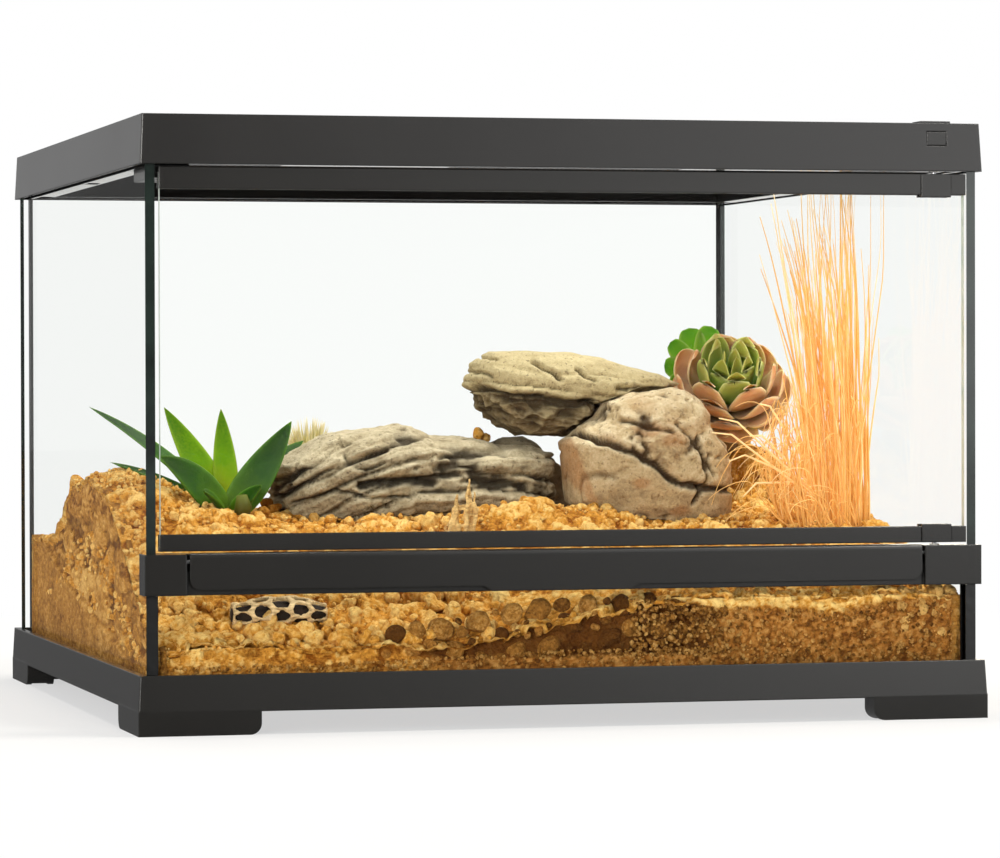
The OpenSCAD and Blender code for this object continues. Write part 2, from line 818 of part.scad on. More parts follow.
// Block under the rim that carries the door magnet at the free end
module catch_block() {
    y0 = door_mid_y + rail_half + 1;
    x0 = -in_x + fit;
    color([0.1, 0.1, 0.1])
        difference() {
            block([x0, y0, top_z0 + fit - catch_drop], [x0 + catch_w, y0 + catch_l, top_z0 + 0.2]);
            block([magnet_x, y0 - 1, top_z0 - magnet_h - 1],
                [magnet_x + magnet_w, y0 + magnet_t, top_z0 - 1]);
        }
}

module door_magnet() {
    y0 = door_mid_y + rail_half + 1;
    color([0.45, 0.45, 0.48])
        block([magnet_x, y0 - 0.5, top_z0 - magnet_h - 1], [magnet_x + magnet_w, y0 + magnet_t, top_z0 - 1]);
}

// ---------- screen ----------

module screen_frame() {
    w = 2 * screen_hw;
    d = screen_y1 - screen_y0;
    color([0.12, 0.12, 0.12])
        translate([0, (screen_y0 + screen_y1) / 2, mesh_z1])
        linear_extrude(screen_t)
        difference() {
            square([w, d], center = true);
            square([w - 2 * screen_rail, d - 2 * screen_rail], center = true);
        }
}

module screen_mesh() {
    w = 2 * (screen_hw - mesh_in);
    d = screen_y1 - screen_y0 - 2 * mesh_in;
    cell_w = (w - mesh_bar) / mesh_cells;
    cell_d = (d - mesh_bar) / mesh_cells;
    color([0.08, 0.08, 0.08])
        translate([-w / 2, (screen_y0 + screen_y1) / 2 - d / 2, mesh_z0])
        linear_extrude(mesh_t)
        difference() {
            square([w, d]);
            for (i = [0:mesh_cells - 1]) for (j = [0:mesh_cells - 1])
                translate([mesh_bar + i * cell_w, mesh_bar + j * cell_d])
                    square([cell_w - mesh_bar, cell_d - mesh_bar]);
        }
}

// Three shallow grooves across a sliding plate, which give the thumb a grip
module grip(x, y, half_len) {
    for (i = [0:2])
        block([x + grip_gap * i, y - half_len, top_z1 - 0.6],
            [x + grip_gap * i + 1, y + half_len, top_z1 + 1]);
}

// A latch at the left rim
module latch(y) {
    x0 = -top_hw + latch_in;
    color([0.2, 0.2, 0.2])
        difference() {
            slide_plate(x0, x0 + latch_w, y - latch_len / 2, y + latch_len / 2,
                slider_z, top_z1 - slider_air, 0);
            grip(x0 + grip_gap, y, latch_len / 4);
        }
}

module latch_front_left() {
    latch(-latch_y);
}

module latch_back_left() {
    latch(latch_y);
}

module latch_front_right() {
    mirror([1, 0, 0]) latch(-latch_y);
}

module latch_back_right() {
    mirror([1, 0, 0]) latch(latch_y);
}

module port_shutter_right() {
    x0 = port_x - shutter_over;
    color([0.2, 0.2, 0.2])
        difference() {
            slide_plate(x0, x0 + shutter_len, port_y - shutter_w / 2, port_y + shutter_w / 2,
                slider_z, top_z1 - slider_air, 0);
            grip(x0 + shutter_len - 4 * grip_gap, port_y, port_w / 3);
        }
}

module port_shutter_left() {
    mirror([1, 0, 0]) port_shutter_right();
}

// ---------- landscape ----------

// Places in the landscape, tied to the panes they stand near
left_mound = [-in_x + 22, 0];
right_mound = [in_x - 36, 55];
rock_gap = 0.3;
rock_at = [-38.5, -16, soil_z];
rock_depth = 88;
boulder_at = [91.5, -52, soil_z];
boulder_depth = 70;
cap_at = [58, -14, soil_z];
cap_depth = 86;
// Outlines from the front, in shares of each stone's width, with the level soil at height 0
rock_outline = [[-0.49, 0.04], [-0.5, 0.12], [-0.49, 0.19], [-0.4, 0.24], [-0.3, 0.29], [-0.15, 0.31],
    [-0.04, 0.33], [0.01, 0.32], [0.07, 0.285], [0.21, 0.285], [0.33, 0.25], [0.43, 0.25],
    [0.48, 0.22], [0.5, 0.09], [0.49, -0.06], [0.2, -0.08], [-0.1, -0.08], [-0.4, -0.05]];
boulder_outline = [[-0.5, 0.43], [-0.44, 0.475], [-0.29, 0.57], [-0.25, 0.66], [-0.09, 0.7], [0.055, 0.72],
    [0.18, 0.73], [0.28, 0.64], [0.35, 0.515], [0.47, 0.4], [0.48, 0.3], [0.5, 0.14],
    [0.48, 0.01], [0.45, -0.08], [0.1, -0.12], [-0.25, -0.1], [-0.46, 0.08], [-0.48, 0.27]];
cap_outline = [[-0.47, 0.69], [-0.39, 0.745], [-0.26, 0.755], [-0.08, 0.745], [0.1, 0.72], [0.25, 0.675],
    [0.39, 0.645], [0.5, 0.6], [0.42, 0.5], [0.28, 0.43], [0.1, 0.36], [-0.05, 0.33],
    [-0.24, 0.34], [-0.37, 0.39], [-0.475, 0.475], [-0.5, 0.56]];

function ripple(x, y) = 1.6 * sin(5 * x + 40) * cos(6 * y) + 1.1 * sin(11 * x - 7 * y)
    + 0.7 * cos(17 * y + 9 * x);

// Height of the soil at a place
function ground(x, y) =
    let (front_z = soil_front_left + (soil_front_right - soil_front_left) * soft(-70, 70, x))
    let (rise = soft(-0.12 * soil_slope, soil_slope, y - front_in))
    let (back = 16 * soft(in_y - 130, in_y, y) * soft(60, -120, x))
    front_z + (soil_z - front_z) * rise - back
        + left_mound_h * bell(x, y, left_mound[0], left_mound[1], 42, 95) * soft(8, 70, y - front_in)
        + right_mound_h * bell(x, y, right_mound[0], right_mound[1], 26, 42)
        + ripple(x, y) * (0.4 + 0.6 * rise);

// The soil as one block with a lumpy top, lifted by a small distance
module soil_block(lift) {
    cells = 32;
    sx = 2 * (in_x - fit) / cells;
    sy = 2 * (in_y - fit) / cells;
    n = cells + 1;
    z0 = pane_z0 + glass_t + fit;
    top = [for (j = [0:cells]) for (i = [0:cells])
        let (x = -in_x + fit + i * sx)
        let (y = -in_y + fit + j * sy)
        [x, y, ground(x, y) + lift]];
    low = [[-in_x + fit, -in_y + fit, z0], [in_x - fit, -in_y + fit, z0],
        [in_x - fit, in_y - fit, z0], [-in_x + fit, in_y - fit, z0]];
    b = n * n;
    faces_top = [for (j = [0:cells - 1]) for (i = [0:cells - 1])
        let (a = j * n + i)
        each [[a, a + n, a + n + 1], [a, a + n + 1, a + 1]]];
    polyhedron(concat(top, low), concat(faces_top,
        [concat([b + 1, b], [for (i = [0:cells]) i])],
        [concat([b + 3, b + 2], [for (i = [cells:-1:0]) cells * n + i])],
        [concat([b, b + 3], [for (j = [cells:-1:0]) j * n])],
        [concat([b + 2, b + 1], [for (j = [0:cells]) j * n + cells])],
        [[b, b + 1, b + 2, b + 3]]), convexity = 10);
}

module substrate() {
    c = bead + fit;
    color([0.78, 0.58, 0.3])
        one_mesh()
        difference() {
            soil_block(0);
            for (sx = [-1, 1]) for (sy = [-1, 1])
                translate([sx * in_x, sy * in_y, 0]) rotate([0, 0, 45])
                    cube([c * sqrt(2), c * sqrt(2), 4 * soil_z], center = true);
        }
}

// A stone from its outline, which draws in towards the front and the back, with dents
module stone(outline, width, depth, dent, seed) {
    slices = 12;
    n = len(outline);
    phase = rands(0, 360, 3, seed);
    mid_x = [for (p = outline) p[0]] * [for (p = outline) 1 / n];
    mid_z = [for (p = outline) p[1]] * [for (p = outline) 1 / n];
    function wave(a, t) = sin(2 * a + phase[0] + 160 * t)
        + 0.7 * sin(5 * a + phase[1]) * cos(200 * t + phase[2]);
    function at(x, y, z) = [width * x, depth / 2 * y, width * z];
    ring = [for (i = [1:slices - 1]) for (j = [0:n - 1])
        let (turn = 180 * i / slices)
        let (t = -sign(cos(turn)) * pow(abs(cos(turn)), 0.75))
        let (c = pow(sin(turn), 0.75) * (1 + dent * wave(360 * j / n, t) * cos(turn)))
        at(mid_x + c * (outline[j][0] - mid_x), t, mid_z + c * (outline[j][1] - mid_z))];
    ends = [at(mid_x, -1, mid_z), at(mid_x, 1, mid_z)];
    last = len(ring) + 1;
    sides = [for (i = [0:slices - 3]) for (j = [0:n - 1])
        let (a = 1 + i * n + j)
        let (b = 1 + i * n + (j + 1) % n)
        each [[a, b + n, b], [a, a + n, b + n]]];
    front_cap = [for (j = [0:n - 1]) [0, 1 + j, 1 + (j + 1) % n]];
    back_cap = [for (j = [0:n - 1]) [last, last - n + (j + 1) % n, last - n + j]];
    polyhedron(concat([ends[0]], ring, [ends[1]]), concat(sides, front_cap, back_cap), convexity = 8);
}

module ledge_rock_body() {
    translate(rock_at) stone(rock_outline, ledge_rock_l, rock_depth, 0.09, 5);
}

module boulder_body() {
    translate(boulder_at) stone(boulder_outline, boulder_w, boulder_depth, 0.05, 21);
}

module cap_body() {
    translate(cap_at) stone(cap_outline, cap_l, cap_depth, 0.07, 32);
}

module ledge_rock() {
    color([0.5, 0.47, 0.4])
        one_mesh()
        difference() {
            ledge_rock_body();
            soil_block(rock_gap);
            translate([-rock_gap, 0, 0]) boulder_body();
        }
}

module boulder() {
    color([0.62, 0.55, 0.45])
        one_mesh()
        difference() {
            boulder_body();
            soil_block(rock_gap);
        }
}

module cap_stone() {
    color([0.55, 0.5, 0.42])
        one_mesh()
        difference() {
            cap_body();
            translate([0, 0, rock_gap]) boulder_body();
            translate([0, 0, rock_gap]) ledge_rock_body();
            soil_block(rock_gap);
        }
}

// A leaf along a curve from a over b to c; wide and thick are half sizes, belly is where it is widest
module leaf(a, b, c, wide, thick, belly, up, rings) {
    sides = 6;
    function at(t) = (1 - t) * (1 - t) * a + 2 * t * (1 - t) * b + t * t * c;
    function swell(t) = t < belly
        ? 0.55 + 0.45 * sin(90 * t / belly)
        : pow(cos(90 * (t - belly) / (1 - belly)), 0.75);
    points = [for (i = [0:rings - 1]) for (k = [0:sides - 1])
        let (t = i / rings)
        let (dir = unit(at(t + 0.02) - at(t)))
        let (side = unit(cross(dir, up)))
        let (n = cross(side, dir))
        at(t) + swell(t) * (side * wide * cos(60 * k) + n * thick * sin(60 * k))];
    walls = [for (i = [0:rings - 2]) for (k = [0:sides - 1])
        let (j = (k + 1) % sides)
        each [[i * sides + k, i * sides + j, (i + 1) * sides + j],
              [i * sides + k, (i + 1) * sides + j, (i + 1) * sides + k]]];
    ring = (rings - 1) * sides;
    tip = [for (k = [0:sides - 1]) [ring + k, ring + (k + 1) % sides, ring + sides]];
    base = [[for (k = [sides - 1:-1:0]) k]];
    polyhedron(concat(points, [c]), concat(walls, tip, base), convexity = 6);
}

// Aloe: tips and bends of its leaves from the heart, for a longest leaf of one
aloe_in = 73;
aloe_at = [-in_x + aloe_in, -40];
aloe_tips = [[-0.66, 0.72, 0.56], [-0.36, -0.06, 0.58], [-0.08, 0, 0.57], [0.32, -0.1, 0.5],
    [-0.43, -0.2, 0.3], [-0.58, 0.38, 0.28], [0.4, 0.46, 0.44], [0.2, -0.18, 0.14], [-0.1, -0.24, 0.08]];
aloe_bends = [[-0.3, 0.2, 0.38], [-0.22, -0.05, 0.22], [-0.06, 0, 0.28], [0.2, -0.08, 0.12],
    [-0.24, -0.12, 0.22], [-0.3, 0.2, 0.2], [0.16, 0.26, 0.26], [0.1, -0.08, 0.1], [-0.04, -0.12, 0.08]];
aloe_widths = [5.5, 8, 7.5, 9, 8, 6, 7, 6, 6];

module aloe() {
    z = ground(aloe_at[0], aloe_at[1]) - 3;
    heart = [aloe_at[0], aloe_at[1], z];
    color([0.2, 0.45, 0.12])
        one_mesh()
        difference() {
            union() {
                for (i = [0:len(aloe_tips) - 1])
                    leaf(heart, heart + aloe_leaf * aloe_bends[i], heart + aloe_leaf * aloe_tips[i],
                        aloe_widths[i], 3, 0.25, [0.1, -0.2, 1], 7);
                translate(heart + [0, 0, 4]) sphere(r = 8, $fn = 16);
            }
            soil_block(rock_gap);
            ledge_rock_body();
        }
}

// Rosette plant: rings of fat leaves round a heart that faces forwards and up
rosette_in = 49;
rosette_up = 77;
rosette_at = [in_x - rosette_in, 40, soil_z + rosette_up];
module rosette_plant() {
    r = rosette_r;
    face = unit([-0.1, -0.72, 0.62]);
    side = unit(cross(face, [0, 0, 1]));
    up = cross(side, face);
    counts = [5, 8, 11, 13];
    reach = [0.3, 0.58, 0.84, 1];
    lift = [0.62, 0.5, 0.18, -0.2];
    color([0.5, 0.5, 0.36])
        one_mesh()
        difference() {
            union() {
                for (k = [0:3]) for (j = [0:counts[k] - 1])
                    let (a = 360 * (j + 0.37 * k) / counts[k])
                    let (out = side * cos(a) + up * sin(a))
                    leaf(rosette_at - face * 0.25 * r,
                        rosette_at + r * (out * reach[k] * 0.6 + face * lift[k] * 0.3),
                        rosette_at + r * (out * reach[k] + face * lift[k]),
                        r * (0.13 + 0.07 * k), r * 0.07, 0.62, face, 4);
                translate(rosette_at - face * 0.3 * r) sphere(r = 0.45 * r, $fn = 16);
                foot = [right_mound[0], right_mound[1], soil_z + 30];
                swept_tube([rosette_at - face * 0.3 * r, foot], [7, 8], 8);
            }
            soil_block(rock_gap);
            boulder_body();
            cap_body();
        }
}

// Dry grass: stems set out in a spiral over the clump, which fan out as they rise
grass_at = [in_x - 34, -86];
grass_spread = [22, 11];
grass_fan = 0.6;
grass_lean = 9;

module dry_grass() {
    tall = rands(0.55, 1, grass_stems, 8);
    stem = [1.3, 1.1, 0.8, 0.5];
    root_z = ground(grass_at[0], grass_at[1]);
    color([0.85, 0.62, 0.3])
        one_mesh()
        difference() {
            union() {
                for (i = [0:grass_stems - 1])
                    let (q = sqrt((i + 0.5) / grass_stems))
                    let (dx = grass_spread[0] * q * cos(137.5 * i))
                    let (dy = grass_spread[1] * q * sin(137.5 * i))
                    let (h = grass_h * tall[i])
                    let (bend = [for (s = [0, 0.33, 0.67, 1])
                        [dx + (grass_fan * dx - grass_lean) * s * s, dy + grass_fan * dy * s * s, h * s]])
                    translate([grass_at[0], grass_at[1], root_z - 2]) swept_tube(bend, stem, 3);
                translate([grass_at[0], grass_at[1], root_z])
                    scale([grass_spread[0] + 6, grass_spread[1] + 5, 9]) sphere(r = 1, $fn = 16);
            }
            soil_block(rock_gap);
        }
}

// Air plant: a small tuft of narrow leaves behind the layered rock
air_at = [-77, 74];
air_h = 44;
module air_plant() {
    at = [air_at[0], air_at[1], ground(air_at[0], air_at[1])];
    color([0.75, 0.8, 0.5])
        one_mesh()
        difference() {
            union() {
                for (j = [0:11])
                    let (a = 360 * j * 0.382)
                    let (w = 0.35 + 0.65 * (j % 4) / 3)
                    let (out = [cos(a), sin(a), 0])
                    leaf(at, at + out * 5 * w + [0, 0, air_h / 2], at + out * 14 * w + [0, 0, air_h - 12 * w],
                        1.8, 1, 0.15, [0.3, 0.2, 1], 4);
                translate(at + [0, 0, 8]) sphere(r = 8, $fn = 16);
            }
            soil_block(rock_gap);
            ledge_rock_body();
        }
}

// Cholla wood: an upright stub, a lying stick and a dark branch in front
stub_at = [-27, -112];
stick_at = [-90, -118];
branch_in = 72;
branch_at = [-in_x + branch_in, front_in + 34];

module wood_stub() {
    x = stub_at[0];
    y = stub_at[1];
    z = ground(x, y);
    color([0.55, 0.42, 0.28])
        one_mesh()
        difference() {
            union() {
                translate([x - 4, y, z]) swept_tube([[0, 0, -3], [0, 0, 12], [-1, 0, 21]], [6, 5, 2.5], 8);
                translate([x + 5, y + 2, z]) swept_tube([[0, 0, -3], [0, 0, 18], [2, 0, 28]], [5, 4, 2], 8);
                translate([x, y + 1, z]) swept_tube([[0, 0, -3], [0, 0, 10]], [7, 5], 8);
            }
            soil_block(rock_gap);
            ledge_rock_body();
        }
}

module wood_stick() {
    y = stick_at[1];
    path = [for (d = [-32, -10, 12, 34]) [stick_at[0] + d, y + 0.05 * d, ground(stick_at[0] + d, y) + 3]];
    color([0.5, 0.38, 0.25])
        one_mesh()
        difference() {
            swept_tube(path, [3.5, 4.5, 4, 3], 8);
            soil_block(rock_gap);
        }
}

module cholla_branch() {
    y = branch_at[1];
    path = [for (d = [-28, -10, 8, 28]) [branch_at[0] + d, y, ground(branch_at[0] + d, y) + 5]];
    color([0.25, 0.17, 0.1])
        one_mesh()
        difference() {
            swept_tube(path, [6, 8, 8, 5], 8);
            soil_block(rock_gap);
        }
}

base_frame();
floor_glass();
left_glass();
right_glass();
back_glass();
front_glass();
seam_back_left();
seam_back_right();
seam_front_left();
seam_front_right();
seam_floor();
front_rail();
vent_strip();
flap();
flap_pins();
flap_spring_left();
flap_spring_right();
top_frame();
hinge_insert();
release_button();
release_spring();
upper_bush();
lower_bush();
catch_block();
door_magnet();
door_glass();
door_upper_rail();
door_lower_rail();
upper_hinge_block();
lower_hinge_block();
pivot_pins();
strike_plate();
screen_frame();
screen_mesh();
latch_front_left();
latch_front_right();
latch_back_left();
latch_back_right();
port_shutter_left();
port_shutter_right();
substrate();
ledge_rock();
boulder();
cap_stone();
aloe();
rosette_plant();
dry_grass();
air_plant();
wood_stub();
wood_stick();
cholla_branch();
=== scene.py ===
# The looks of the reptile terrarium. Metres, +Z up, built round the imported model.
import math

import bmesh
import bpy
import numpy as np
from mathutils import Matrix, Vector
from mathutils.bvhtree import BVHTree


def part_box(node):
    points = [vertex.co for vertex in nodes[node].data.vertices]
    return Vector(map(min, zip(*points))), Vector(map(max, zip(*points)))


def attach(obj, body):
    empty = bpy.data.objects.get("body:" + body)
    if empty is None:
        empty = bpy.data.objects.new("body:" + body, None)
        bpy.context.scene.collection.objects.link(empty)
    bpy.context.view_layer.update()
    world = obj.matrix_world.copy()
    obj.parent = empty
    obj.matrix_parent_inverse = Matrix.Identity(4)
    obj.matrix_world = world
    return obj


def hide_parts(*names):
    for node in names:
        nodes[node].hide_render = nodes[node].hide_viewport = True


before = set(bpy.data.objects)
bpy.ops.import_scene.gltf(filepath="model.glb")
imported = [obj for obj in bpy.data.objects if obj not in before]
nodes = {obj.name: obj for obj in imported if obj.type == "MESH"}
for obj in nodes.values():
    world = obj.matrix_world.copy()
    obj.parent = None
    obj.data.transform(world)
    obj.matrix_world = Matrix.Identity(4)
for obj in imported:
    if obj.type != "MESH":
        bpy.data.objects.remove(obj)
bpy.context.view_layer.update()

# ---------------------------------------------------------------- places, in metres
IN_X = 0.2198        # half width and half depth inside the panes
IN_Y = 0.2198
SOIL_FOOT = 0.0275   # where the earth behind the panes starts
ROCKS = ("ledge_rock", "boulder", "cap_stone")


# ---------------------------------------------------------------- numbers
def rgb(r, g, b):
    """A colour given as 0-255 screen values, as the linear values that shaders use."""
    return tuple(((c / 255 + 0.055) / 1.055) ** 2.4 if c > 10 else c / 255 / 12.92 for c in (r, g, b)) + (1,)


def shade(colour, share):
    """The same colour, darker or lighter."""
    return tuple(c * share for c in colour[:3]) + (1,)


def lattice(cells, seed):
    """A repeatable random number from 0 to 1 for each cell of a grid."""
    h = cells[..., 0] * 374761393 + cells[..., 1] * 668265263 + cells[..., 2] * 1440662683 + seed * 974634777
    h &= 0xFFFFFFFF
    h = ((h ^ (h >> 13)) * 1274126177) & 0xFFFFFFFF
    return ((h ^ (h >> 16)) & 0xFFFFFF) / 0xFFFFFF


def noise3(p, seed=0):
    """Smooth noise from -1 to 1 at points p."""
    cell = np.floor(p).astype(np.int64)
    f = p - cell
    f = f * f * (3 - 2 * f)
    total = np.zeros(len(p))
    for corner in range(8):
        step = np.array([corner & 1, corner >> 1 & 1, corner >> 2 & 1])
        weight = np.prod(np.where(step, f, 1 - f), axis=1)
        total += weight * lattice(cell + step, seed)
    return total * 2 - 1


def fbm(p, size, octaves=4, seed=0, shift=17.3, form=np.positive):
    """Noise in several sizes, the largest feature being about size metres."""
    total, weight, share = np.zeros(len(p)), 1.0, 0.0
    for k in range(octaves):
        total += weight * form(noise3(p / size * 2 ** k + shift * k, seed + k))
        share += weight
        weight *= 0.5
    return total / share


def ridged(p, size, octaves=3, seed=0):
    """From 0 to 1, with sharp creases at 0."""
    return fbm(p, size, octaves, seed, 5.1, np.abs)


def swayed(p, reach, size, octaves, seed):
    """Points moved about by up to reach."""
    return p + reach * np.stack([fbm(p, size, octaves, seed + k) for k in range(3)], 1)


def clods(p, size, seed):
    """Round bumps of about size metres, from 0 between them to 1 on top, and a random number for each."""
    q = p / size
    cell = np.floor(q).astype(np.int64)
    near, which = np.full(len(p), 9.0), np.zeros(len(p))
    for step in np.ndindex(3, 3, 3):
        c = cell + np.array(step) - 1
        spot = c + np.stack([lattice(c, seed), lattice(c, seed + 1), lattice(c, seed + 2)], 1)
        d = np.linalg.norm(q - spot, axis=1) / (0.55 + 0.5 * lattice(c, seed + 3))
        closer = d < near
        near = np.where(closer, d, near)
        which = np.where(closer, lattice(c, seed + 4), which)
    return np.sqrt(np.clip(1 - near ** 2, 0, 1)), which


def line_near(co, points, width):
    """From 0 to 1: how near each point is, seen from the front, to a line of x and z places."""
    q = co[:, [0, 2]]
    best = np.full(len(q), 9.0)
    for a, b in zip(np.array(points[:-1]), np.array(points[1:])):
        t = np.clip(((q - a) @ (b - a)) / ((b - a) @ (b - a)), 0, 1)
        best = np.minimum(best, np.linalg.norm(q - a - t[:, None] * (b - a), axis=1))
    return np.exp(-(best / width) ** 2)


def smooth(a, b, x):
    """From 0 at a to 1 at b, without corners."""
    t = np.clip((x - a) / (b - a), 0, 1)
    return t * t * (3 - 2 * t)


def resampled(line, steps):
    """Rows of numbers spread evenly over more or fewer steps."""
    line = np.asarray(line, float)
    t, at = np.linspace(0, 1, steps), np.linspace(0, 1, len(line))
    return np.stack([np.interp(t, at, row) for row in line.T], 1) if line.ndim > 1 else np.interp(t, at, line)


# ---------------------------------------------------------------- meshes
def link(obj):
    bpy.context.scene.collection.objects.link(obj)
    return obj


def dress(mesh, mat):
    """One material and smooth shading."""
    mesh.materials.clear()
    mesh.materials.append(mat)
    mesh.polygons.foreach_set("use_smooth", [True] * len(mesh.polygons))


def new_object(name, verts, faces, mat, body="tank"):
    mesh = bpy.data.meshes.new(name)
    mesh.from_pydata(np.asarray(verts).tolist(), [], faces if isinstance(faces, list) else faces.tolist())
    mesh.update()
    dress(mesh, mat)
    obj = link(bpy.data.objects.new(name, mesh))
    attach(obj, body)
    return obj


def set_tone(obj, values, name="tone"):
    """Stores one number for each vertex, for the material to read."""
    attr = obj.data.attributes.new(name, "FLOAT", "POINT")
    attr.data.foreach_set("value", np.asarray(values, dtype=np.float32))


def triples(items, what, kind=float):
    """Three numbers of each item, as an array."""
    numbers = np.empty(len(items) * 3, kind)
    items.foreach_get(what, numbers)
    return numbers.reshape(-1, 3)


def points_of(obj):
    return triples(obj.data.vertices, "co")


def normals_of(obj):
    return triples(obj.data.vertex_normals, "vector")


def set_points(obj, co):
    obj.data.vertices.foreach_set("co", np.asarray(co).ravel())
    obj.data.update()


def bvh_of(obj):
    mesh = obj.data
    return BVHTree.FromPolygons([v.co for v in mesh.vertices], [tuple(p.vertices) for p in mesh.polygons])


def even_mesh(obj, size, mat):
    """Gives an object an even mesh with cells of this size."""
    mod = obj.modifiers.new("even", "REMESH")
    mod.mode, mod.voxel_size = "VOXEL", size
    mesh = bpy.data.meshes.new_from_object(obj.evaluated_get(bpy.context.evaluated_depsgraph_get()))
    obj.modifiers.clear()
    obj.data = mesh
    dress(mesh, mat)


def remeshed(source, name, size, mat):
    """A new object from a CAD node's shape, in an even mesh."""
    obj = link(bpy.data.objects.new(name, source.data.copy()))
    even_mesh(obj, size, mat)
    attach(obj, "tank")
    return obj


def grid_faces(across, deep):
    """The squares of a grid, and the ids of the points on its rim in order."""
    n = across + 1
    i, j = np.meshgrid(np.arange(across), np.arange(deep))
    a = (j * n + i).ravel()
    rim = np.concatenate([np.arange(n), np.arange(1, deep + 1) * n + across,
                          deep * n + np.arange(across - 1, -1, -1), np.arange(deep - 1, 0, -1) * n])
    return np.stack([a, a + 1, a + n + 1, a + n], 1).tolist(), rim


def band(upper, lower):
    """Squares between two rings of points."""
    return np.stack([upper, lower, np.roll(lower, -1), np.roll(upper, -1)], 1).tolist()


def tube_sides(rings, around):
    k = np.arange(around)
    q, r = (k + 1) % around, np.arange(rings - 1)[:, None] * around
    return np.stack([r + k, r + q, r + around + q, r + around + k], 2).reshape(-1, 4).tolist()


def closed_tube(rings, first, last):
    """Points and faces of rings of points, with a fan to a middle point at each end."""
    count, around = rings.shape[:2]
    k = np.arange(around)
    q, end = (k + 1) % around, (count - 1) * around
    fans = np.concatenate([np.stack([k * 0 + end + around, q, k], 1),
                           np.stack([k * 0 + end + around + 1, end + k, end + q], 1)])
    return np.concatenate([rings.reshape(-1, 3), [first], [last]]), tube_sides(count, around) + fans.tolist()


def joined(parts):
    """Points and faces of several shapes as one."""
    faces, count = [], 0
    for points, part in parts:
        faces += [[i + count for i in face] for face in part]
        count += len(points)
    return np.concatenate([points for points, _ in parts]), faces


def rotations(n, source):
    """n random turns, as 3 x 3 matrices."""
    q = source.normal(size=(n, 4))
    q /= np.linalg.norm(q, axis=1)[:, None]
    w, x, y, z = q.T
    return np.array([[1 - 2 * (y * y + z * z), 2 * (x * y - z * w), 2 * (x * z + y * w)],
                     [2 * (x * y + z * w), 1 - 2 * (x * x + z * z), 2 * (y * z - x * w)],
                     [2 * (x * z - y * w), 2 * (y * z + x * w), 1 - 2 * (x * x + y * y)]]).transpose(2, 0, 1)


def ball(level):
    """An icosphere's points and triangles."""
    work = bpy.data.meshes.new("ball")
    bm = bmesh.new()
    bmesh.ops.create_icosphere(bm, subdivisions=level, radius=1.0)
    bm.to_mesh(work)
    bm.free()
    co, tri = triples(work.vertices, "co"), triples(work.polygons, "vertices", np.int32)
    bpy.data.meshes.remove(work)
    return co, tri


def lump_shapes(level, count, rough, seed, cuts=9, cut_at=(0.50, 0.88)):
    """A small library of stones or clods of radius one, cut by planes and then roughened."""
    co, tri = ball(level)
    shapes = []
    for k in range(count):
        source = np.random.default_rng(seed + k)
        p = co * source.uniform(0.78, 1.15, 3)
        for _ in range(cuts):
            d = source.normal(size=3)
            d /= np.linalg.norm(d)
            over = p @ d - source.uniform(*cut_at)
            p = p - np.clip(over, 0, None)[:, None] * d * 0.85
        creases = 1 - smooth(0, 0.25, ridged(co - 5 * k, 0.8, 2, seed + 50 + k))
        p = p * (1 + rough * (fbm(co + 9 * k, 0.9, 3, seed + k) - 0.8 * creases))[:, None]
        shapes.append(p / np.linalg.norm(p, axis=1).max() * (1, 0.9, 0.8))
    return shapes, tri


def between(low, high, share):
    return low + (high - low) * share


def scatter(name, centres, radii, kind, mat, tones, source):
    """Many lumps as one object: each has its own shape, turn, size and tone."""
    shapes, tri = kind
    n = len(centres)
    base = np.array(shapes)[source.integers(0, len(shapes), n)]
    turn = rotations(n, source)
    pts = np.einsum("nij,nvj->nvi", turn, base) * np.asarray(radii)[:, None, None]
    pts = (pts + np.asarray(centres)[:, None]).reshape(-1, 3)
    pts[:, :2] = np.clip(pts[:, :2], (-IN_X, -IN_Y), (IN_X, IN_Y))
    v = base.shape[1]
    obj = new_object(name, pts, (tri[None] + (np.arange(n) * v)[:, None, None]).reshape(-1, 3), mat)
    set_tone(obj, np.repeat(tones, v))


